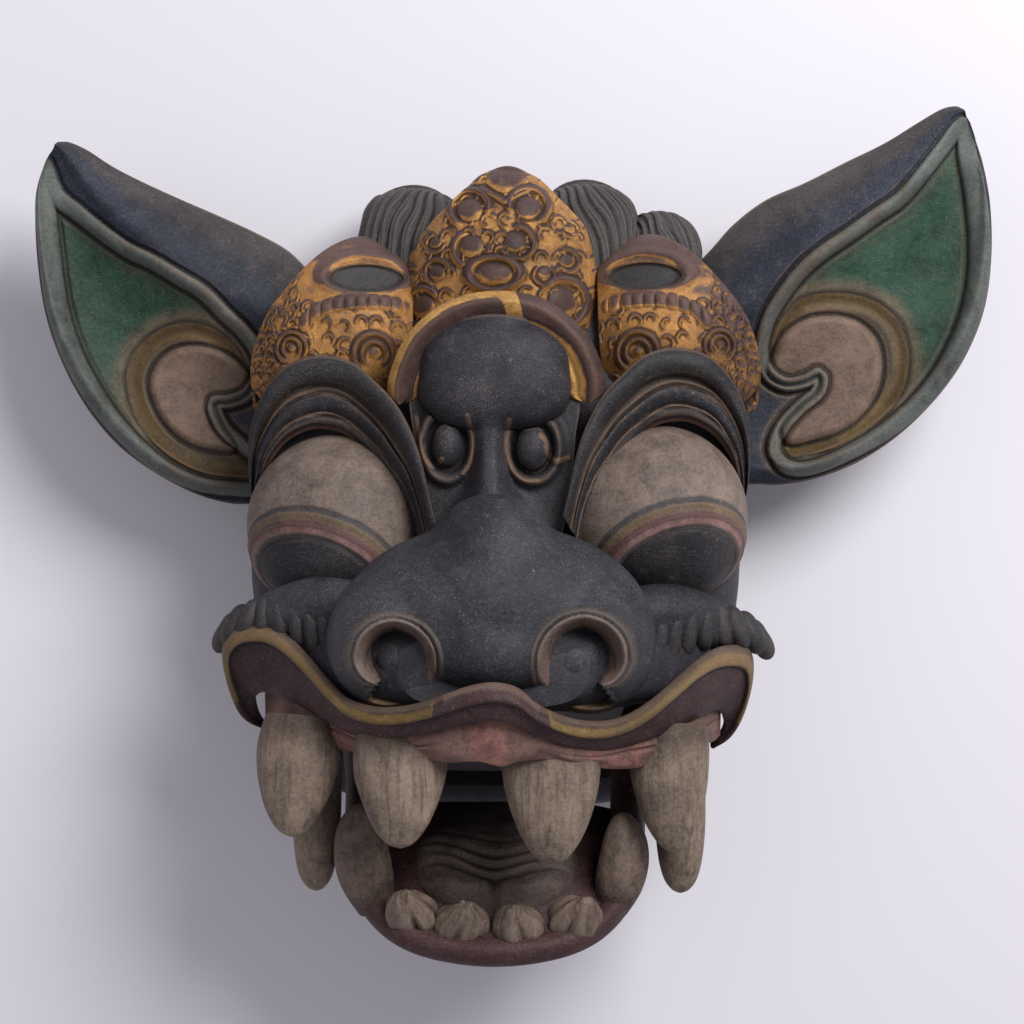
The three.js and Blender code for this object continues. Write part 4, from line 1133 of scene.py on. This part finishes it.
def tooth(root, tip, wide, deep, kind, lift=(0, 0, 1), bow=0.0):
    # a tapering carved tooth with slightly uneven knife facets
    rows, cols = 120, 90
    t = 1 - (1 - np.linspace(0, 1, rows)) ** 1.25
    root, tip = np.asarray(root, float), np.asarray(tip, float)
    path = root + (tip - root) * t[:, None]
    path[:, 0] += bow * np.sin(np.pi * t)
    keys = np.array(taper[kind])
    curve = smoothPath(keys * [100, 40], 300) / [100, 40]
    size = np.interp(t, curve[:, 0], np.maximum(curve[:, 1], 0.02))[:, None]
    angle = np.linspace(0, 2 * np.pi, cols, endpoint=False)[None, :]
    uneven = 1 + 0.012 * np.cos(angle * 7 + 1.3 + 2 * t[:, None]) + 0.05 * (hills(2 + np.cos(angle) * 1.4,
            t[:, None] * 3 + np.sin(angle), 1.0, int(wide * 7)) - 0.5)
    profile = np.stack([np.cos(angle) * wide * size * uneven, np.sin(angle) * deep * size * uneven], axis=-1)
    return strip(sweep(path, profile, lift), capStart=True, capEnd=True, layers={"tip": t[:, None]})


for name, (root, tip, wide, deep, kind) in fangs.items():
    carved(name, [tooth(root, tip, wide, deep, kind)], toothPaint)

# ears
ears = {
    "left": {
        "upper": [(-80, 106), (-86.5, 112), (-98, 123.3), (-113, 131.6), (-130, 139.3), (-148, 147),
                  (-164.4, 154.2),
                  (-178.7, 161.3), (-190, 168.5), (-198, 172), (-203, 172.2)],
        "lower": [(-104, 4), (-112, 4), (-124, 4), (-140.6, 8.5), (-159, 18), (-176.5, 31), (-191.5, 49),
                  (-203, 70.5),
                  (-210.5, 94), (-214, 123), (-213.5, 147), (-208, 165)],
        "rim": [(-210, 160), (-204.8, 147.8), (-194.7, 139.5), (-182.8, 130), (-171, 121.7), (-159, 115.8),
                (-147, 108.7),
                (-135.4, 101.6), (-126, 92), (-117.6, 83.8), (-111.7, 75.5), (-110.5, 64.8), (-116.4, 55.3),
                (-125, 51.8),
                (-131.9, 50.6), (-128, 40), (-119, 31.6), (-110.5, 24.5), (-106, 16.2), (-111, 11),
                (-123.6, 11),
                (-138, 13), (-153, 19.4), (-167, 30), (-180, 44), (-190.5, 59.4), (-198.7, 76), (-204, 93.3),
                (-206.5, 109), (-208, 125.3), (-209.5, 143)],
        "sand": [(-114.7, 62.4), (-121, 70.7), (-132, 76.7), (-143.7, 78), (-153, 75.5), (-160.3, 68.4),
                 (-162.7, 57.7),
                 (-156.8, 43.5), (-147.3, 34), (-135.4, 29.2), (-122, 29),
                 (-128, 40), (-131.9, 50.6), (-125, 51.8), (-117, 55.5)],
        "ochre": [(-116.4, 68.4), (-123.6, 80.2), (-135.4, 87.3), (-147.3, 88.5), (-159, 85), (-168.6, 76.7),
                  (-173.4, 66), (-172.2, 54), (-167.4, 42.3), (-156.8, 29.2), (-142.5, 19.8), (-127, 16.2),
                  (-112, 16.6),
                  (-112, 23), (-119, 31.6), (-128, 40), (-131.9, 50.6), (-125, 51.8), (-116.4, 55.3),
                  (-111, 63)],
    },
    "right": {
        "upper": [(90, 112), (101.7, 124), (112.6, 136), (127.3, 147), (145.5, 154.9), (163.8, 164),
                  (182, 172.6),
                  (198, 182.2), (207.7, 187.6), (214, 188.8), (217, 187.6)],
        "lower": [(118, 13), (123.6, 13), (133.3, 12.8), (149.2, 15.5), (168.7, 22.8), (187.6, 35), (204.4, 51),
                  (218.5, 70.3), (228, 93.3), (231.3, 117.5), (230.6, 142), (226.6, 163), (220.4, 180)],
        "rim": [(217, 180), (207, 168.2), (197.4, 156), (187.7, 145), (175.5, 136.6), (163.4, 128),
                (151, 119.6),
                (141.5, 111), (133, 100), (127, 89.2), (124.5, 77), (127, 66), (135.4, 60), (145, 61.2),
                (151.8, 64.3),
                (151.2, 56.4), (142.7, 49), (134.2, 39.4), (130.5, 29.6), (135.4, 21.6), (146.3, 20.4),
                (163, 26.6),
                (182, 37.6), (198.8, 52), (210.8, 67.8), (220.2, 87), (225, 106.4), (225.6, 128), (222.8, 150),
                (218.6, 168)],
        "sand": [(130.5, 74.6), (134.2, 83), (145, 90.4), (158.5, 92.2), (170.6, 89.2), (179.2, 80.7),
                 (181.6, 69.7),
                 (179.8, 57.6), (173, 46.7), (162, 38), (148.8, 33.3), (137, 31.5),
                 (134.2, 39.4), (142.7, 49), (151.2, 56.4), (151.8, 64.3), (145, 61.2), (135.4, 60),
                 (127.5, 65)],
        "ochre": [(136.6, 94), (142.7, 100), (158.5, 102.6), (175.5, 100), (187.7, 91.6), (193, 79.5),
                  (193.7, 67.3),
                  (189, 54), (178, 40.6), (163.4, 31), (148.8, 27.2), (133, 25),
                  (130.5, 29.6), (134.2, 39.4), (142.7, 49), (151.2, 56.4), (151.8, 64.3), (145, 61.2),
                  (135.4, 60), (127, 66), (125, 78)],
    },
    "front": [(0, -13), (0.03, -8), (0.09, 0), (0.18, 7), (0.25, 9.5), (0.3, 8), (0.4, 1), (0.6, -7),
              (0.82, -5), (0.92, 1), (1, -4)],
    "back": [(0.97, -9), (0.85, -15), (0.6, -22), (0.3, -26), (0.1, -23), (0.02, -17)],
}
earPaint = finish("earPaint", paint(62, 58, 58), [
    ("strip", 0.13, 1.2, 0.06, 0.14, paint(34, 42, 58), 0.85),
    ("leaf", -99, 0.0, 0.4, 0.8, paint(44, 74, 58), 1.0), ("leaf", -9, 0.5, 4.0, 4.0, paint(66, 66, 56), 0.6),
    ("ochre", -99, 6.0, 3.5, 5.0, paint(104, 90, 74), 0.75), ("ochre", -99, 0.8, 0.5, 0.8, paint(62, 52, 42),
            0.9),
    ("ochre", -7.5, -0.6, 0.8, 1.6, paint(96, 76, 44), 0.85), ("sand", -99, 1.2, 0.4, 0.8, paint(60, 48, 40),
            0.9),
    ("sand", -99, 0.0, 0.4, 0.9, paint(112, 92, 80), 1.0),
    ("rim", -1.0, 1.22, 0.04, 0.08, paint(46, 41, 38), 0.85), ("rim", -1.0, 0.98, 0.08, 0.12, paint(94, 100,
            96), 0.9)],
    {"Wear": 0.42, "Clouds": 0.5, "Dust": 0.35, "Hollow Dirt And Shade": 0.6, "Scratches": 0.125, "Bare Wood": paint(122, 96,
            76)})


def earPiece(side):
    # An ear: at each step from root to tip a section runs from the upper to the lower edge and back behind.
    # The rim is a roll that follows a line on the front; inside it lie the leaf, the ochre band and the disk.
    ear = ears["left" if side < 0 else "right"]
    rows = 320
    upper, lower = smoothPath(ear["upper"], rows), smoothPath(ear["lower"], rows)
    along = np.linspace(0, 1, rows)[:, None]
    front, back = np.array(ears["front"]), np.array(ears["back"])
    vFront = (1 - np.cos(np.linspace(0, np.pi, 240))) / 2 * 0.3 + np.linspace(0, 1, 240) * 0.7
    curve = smoothPath(front * [100, 1], 400) / [100, 1]
    hFront = np.interp(vFront, curve[:, 0], curve[:, 1])
    rear = smoothPath(back * [100, 1], 60) / [100, 1]
    v = np.concatenate([vFront, rear[:, 0]])[None, :]
    h = np.concatenate([hFront, rear[:, 1]])[None, :]
    scale = np.minimum(1, 0.18 + (1 - along) * 1.9)
    x = upper[:, :1] * (1 - v) + lower[:, :1] * v
    y = upper[:, 1:] * (1 - v) + lower[:, 1:] * v
    z = h * scale + 62 + 12 * along
    face = np.arange(v.shape[1])[None, :] < 240
    rim = smoothPath(ear["rim"], 150, closed=True)
    sand, ochre = (smoothPath(ear[key], 70, closed=True) for key in ("sand", "ochre"))
    rimAway, _ = lineDistance(x, y, np.vstack([rim, rim[:1]]))
    leaf, sandAway, ochreAway = areaDistance(x, y, rim), areaDistance(x, y, sand), areaDistance(x, y, ochre)
    rimWide = 3.5 + 1.5 * eased(0.3, 0.9, v) * eased(0.15, 0.5, along)
    rimShare = np.where(face, rimAway / rimWide, 9.0)
    lift = 4.2 * np.sqrt(np.maximum(0, 1 - rimShare ** 2)) * np.minimum(1, scale + 0.2)
    lift += 2.4 * eased(0.5, -3.5, sandAway) - 1.6 * bump(ochreAway, -3.5, 5) * eased(-1, 1, sandAway)
    lift -= 1.2 * bump(rimShare, 1.25, 0.5) + 1.2 * bump(sandAway, 0.6, 1.8) + 0.8 * bump(ochreAway, 0.5, 1.8)
    z = z + np.where(face, lift, 0)
    grid = np.stack([x, y, z], axis=-1)
    carved("earLeft" if side < 0 else "earRight", [strip(grid, capStart=True, capEnd=True, layers={
        "rim": rimShare, "leaf": np.where(face, leaf, 99), "sand": np.where(face, sandAway, 99),
        "ochre": np.where(face, ochreAway, 99), "strip": np.where(face, v * (leaf > 0), 0)})],
        earPaint, "ear_left" if side < 0 else "ear_right")


for side in (-1, 1):
    earPiece(side)

# the lower jaw
jaw = {
    "rim": [(-58, 70, -16), (-63, 96, -16), (-54, 124, -17), (-34, 142, -18), (0, 149, -18), (34, 142, -18),
            (54, 124, -17), (63, 96, -16), (58, 70, -16)],
    "arm": [(57, 106, -18), (60.5, 84, -14), (61.5, 56, -10), (65, 30, -6), (71, 12, -3), (72, 0, 0)],
    # each front tooth: its middle, half-width, the side its point leans to and how high it stands
    "teeth": [((-36.8, -177.5, 131), 11.0, -0.35, 12.5), ((-14.6, -182, 134), 11.6, 0.25, 12.0),
              ((10.8, -182.6, 134), 11.4, -0.2, 12.0), ((35, -180, 131), 11.6, 0.3, 12.5)],
}
jawRed = finish("jawLacquer", paint(62, 38, 40), [], {"Wear": 0.35, "Clouds": 0.5, "Dust": 0.35, "Hollow Dirt And Shade": 0.5,
                                                      "Scratches": 0.18})
# the dark band by the base is painted shade where the lower teeth sit in the jaw
jawTooth = finish("jawToothWood", paint(104, 88, 78), [("tip", -1, 0.2, 0.12, 0.2, paint(58, 46, 42), 0.8)],
                  {"Wear": 0.3, "Clouds": 0.6, "Dust": 0.35, "Hollow Dirt And Shade": 0.8, "Bare Wood": paint(140, 124, 108)},
                  streak=toothLook | {"scale": (300, 120, 120)})
# the dark band over the back of the tongue is painted shade under the upper jaw
tonguePaint = finish("tonguePaint", paint(74, 62, 58), [("back", 0.4, 2.0, 0.3, 0.3, paint(40, 32, 30), 0.8)],
                     {"Wear": 0.45, "Clouds": 0.6, "Dust": 0.4, "Hollow Dirt And Shade": 0.8, "Bare Wood": paint(116, 96, 86),
                      "Scratches": 0.18})


def jawRings():
    # the chin's bowl: U-shaped outlines that shrink with depth as an egg does
    depth = np.linspace(0, 1, 40)[:, None]
    u = -13 - 32 * depth
    scale = np.sqrt(np.maximum(0.02, 1 - ((u + 10) / 37) ** 2))
    t = np.linspace(0, 1, 180, endpoint=False)[None, :]
    angle = t * 2 * np.pi
    c, s = np.cos(angle), np.sin(angle)
    x = np.sign(c) * np.abs(c) ** 0.62 * 64 * scale
    f = 98 + np.where(s > 0, np.abs(s) ** 0.9 * 51, -np.abs(s) ** 0.35 * 33) * (0.35 + 0.65 * scale)
    return inJaw(np.stack([x, f, np.broadcast_to(u, x.shape)], axis=-1))


def tubePath(points, count):
    return inJaw(smoothPath(points, count))


def jawBody():
    path = tubePath(jaw["rim"], 260)
    rim = sweep(path, oval(60, 5.6, 6.6, 2.4), jawUp)
    strips = [strip(jawRings(), capStart=True, capEnd=True), strip(rim, capStart=True, capEnd=True)]
    for side in (-1, 1):
        arm = tubePath(np.array(jaw["arm"]) * [side, 1, 1], 120)
        strips.append(strip(sweep(arm, oval(48, 8.0, 13, 2.8), jawUp), capStart=True, capEnd=True))
        along = np.linspace(0, 1, 60)
        knuckle = inJaw(np.stack([side * (66 + 12 * along), 0 * along, 0 * along], axis=-1))
        strips.append(strip(sweep(knuckle, oval(60, 11, 11) * roundEnds(60, 0.16, 0.8)[:, None, None], jawUp),
                            capStart=True, capEnd=True))
        stub = inJaw(np.stack([side * (74 + 17 * along), 0 * along, 0 * along], axis=-1))
        strips.append(strip(sweep(stub, oval(48, 5.6, 5.6) * roundEnds(60, 0.08, 0.7)[:, None, None], jawUp),
                            capStart=True, capEnd=True))
    carved("jawBowl", strips, jawRed, "jaw")


def tonguePiece():
    # A broad tongue: flat at the back, wavy creases across its middle, and a rolled front edge with a cleft in it.
    # Its back is painted darker as shade under the upper jaw.
    grid, _ = ovoid((0, 0, 0), (1, 1, 1), (0, 0.15, 1), 190, 260)
    x, f, u = grid[..., 0] * 40, grid[..., 1] * 37, grid[..., 2] * 17
    top = eased(-8, 5, u)
    bend = f - 4.5 * np.cos(x / 9.0) - 3 * np.sin(x / 23 + 1)
    creases = sum(depth * np.exp(-((bend - at) / 1.7) ** 2) for at, depth in ((2, 2.0), (8, 1.4), (14, 2.2),
            (-6, 1.0)))
    roll = 4.2 * np.exp(-((f - 25 - 2.5 * np.cos(x / 8.5)) / 7.0) ** 2)
    cleft = 3.6 * np.exp(-(x / 2.6) ** 2) * eased(16, 26, f)
    u = u + top * (roll - creases * eased(38, 22, np.abs(x)) - cleft + 1.6 * (hills(x, f, 7,
            2) - 0.5)) - 5 * eased(2, -24, f) * top
    points = inJaw(np.stack([x, f, u], axis=-1) + np.array([0, 97, -19]))
    carved("tongue", [strip(points, capStart=True, capEnd=True, layers={"back": eased(-4, -22, f)})],
           tonguePaint, "jaw")


def lowerTeeth():
    # two horned side teeth, and four squat front ones: rounded boxes drawn up to a blunt point off centre
    strips = []
    for side in (-1, 1):
        root, tip = inJaw([side * (52.5 - 0.5 * side), 122, -20]), inJaw([side * (58 - 1.5 * side), 99,
                21 - side * 3])
        strips.append(tooth(root, tip, 12.0 - 0.6 * side, 11.0, "horn", jawForward, side * 3.5))
    for (x, y, z), wide, lean, high in jaw["teeth"]:
        grid, polar = ovoid((0, 0, 0), (1, 1, 1), (0, 0, 1), 90, 110)
        a, b, c = (np.sign(grid[..., k]) * np.abs(grid[..., k]) ** power for k, power in ((0, 0.8), (1, 0.85),
                (2, 0.9)))
        draw = 1 - 0.42 * eased(-0.1, 1.0, c)
        lump = 1 + 0.22 * (hills(a * 1.6 + x, b * 1.6 + c, 0.8, 3) - 0.5) + 0.08 * (hills(a * 4 + x,
                b * 3 + c * 2, 0.8, 5) - 0.5)
        dent = 1 - 0.14 * bump(a, -0.25 * np.sign(lean), 0.3) * eased(-0.4, 0.2, b) * eased(0.9, 0.2, np.abs(c))
        body = np.stack([a * wide * draw * lump + lean * wide * eased(-0.2, 1, c), b * 9.5 * draw * lump * dent,
                         c * high * lump], axis=-1)
        points = np.array([x, y, z]) + body[..., :1] * np.array([1.0, 0, 0]) + body[...,
                1:2] * jawForward + body[..., 2:] * jawUp
        strips.append(strip(points, capStart=True, capEnd=True, layers={"tip": 1 - polar / 130}))
    carved("lowerTeeth", strips, jawTooth, "jaw")


jawBody()
tonguePiece()
lowerTeeth()

# floor, light, camera
studio = {"floor": (232, 229, 236), "sky": (232, 230, 240), "skyStrength": 0.42, "key": 27.0, "fill": 1.5}


def stageAndLight():
    floorMaterial = bpy.data.materials.new("paleFloor")
    floorMaterial.use_nodes = True
    tree = floorMaterial.node_tree
    place = put(tree, "ShaderNodeTexCoord").outputs["Object"]
    tint = over(tree, speckle(tree, place, 3, 2), paint(*studio["floor"]), paint(236, 233, 239))
    shader = tree.nodes["Principled BSDF"]
    tree.links.new(tint, shader.inputs["Base Color"])
    shader.inputs["Roughness"].default_value = 0.9
    shader.inputs["Specular IOR Level"].default_value = 0.1
    mesh = bpy.data.meshes.new("floor")
    half = 6.0
    mesh.from_pydata([(-half, -half, 0), (half, -half, 0), (half, half, 0), (-half, half, 0)], [],
                     [(0, 1, 2, 3)])
    mesh.materials.append(floorMaterial)
    floor = bpy.data.objects.new("floor", mesh)
    bpy.context.collection.objects.link(floor)
    floor.location.z = -0.0004
    world = bpy.data.worlds.new("studio")
    world.use_nodes = True
    world.node_tree.nodes["Background"].inputs["Color"].default_value = paint(*studio["sky"])
    world.node_tree.nodes["Background"].inputs["Strength"].default_value = studio["skyStrength"]
    bpy.context.scene.world = world
    for name, place, size, power in (("key", (0.75, 0.85, 1.35), 0.9, studio["key"]), ("fill", (-1.0, 0.2, 1.4),
            1.4, studio["fill"])):
        lamp = bpy.data.lights.new(name, "AREA")
        lamp.shape, lamp.size, lamp.energy = "DISK", size, power
        light = bpy.data.objects.new(name, lamp)
        bpy.context.collection.objects.link(light)
        light.location = place
        aim = np.array([0, 0, 0.05]) - np.array(place)
        light.rotation_euler = (math.acos(-aim[2] / np.linalg.norm(aim)), 0, math.atan2(aim[1],
                aim[0]) + math.pi / 2 + math.pi)
    camera = bpy.data.objects.new("camera", bpy.data.cameras.new("camera"))
    bpy.context.collection.objects.link(camera)
    camera.location = toPart((7.7, 0, 1400))
    camera.data.angle = 2 * math.atan(250.9 / 1400)
    camera.data.clip_start, camera.data.clip_end = 0.05, 50
    bpy.context.scene.camera = camera
    bpy.context.scene.view_settings.view_transform = "Standard"


stageAndLight()
print("stage and camera ready")
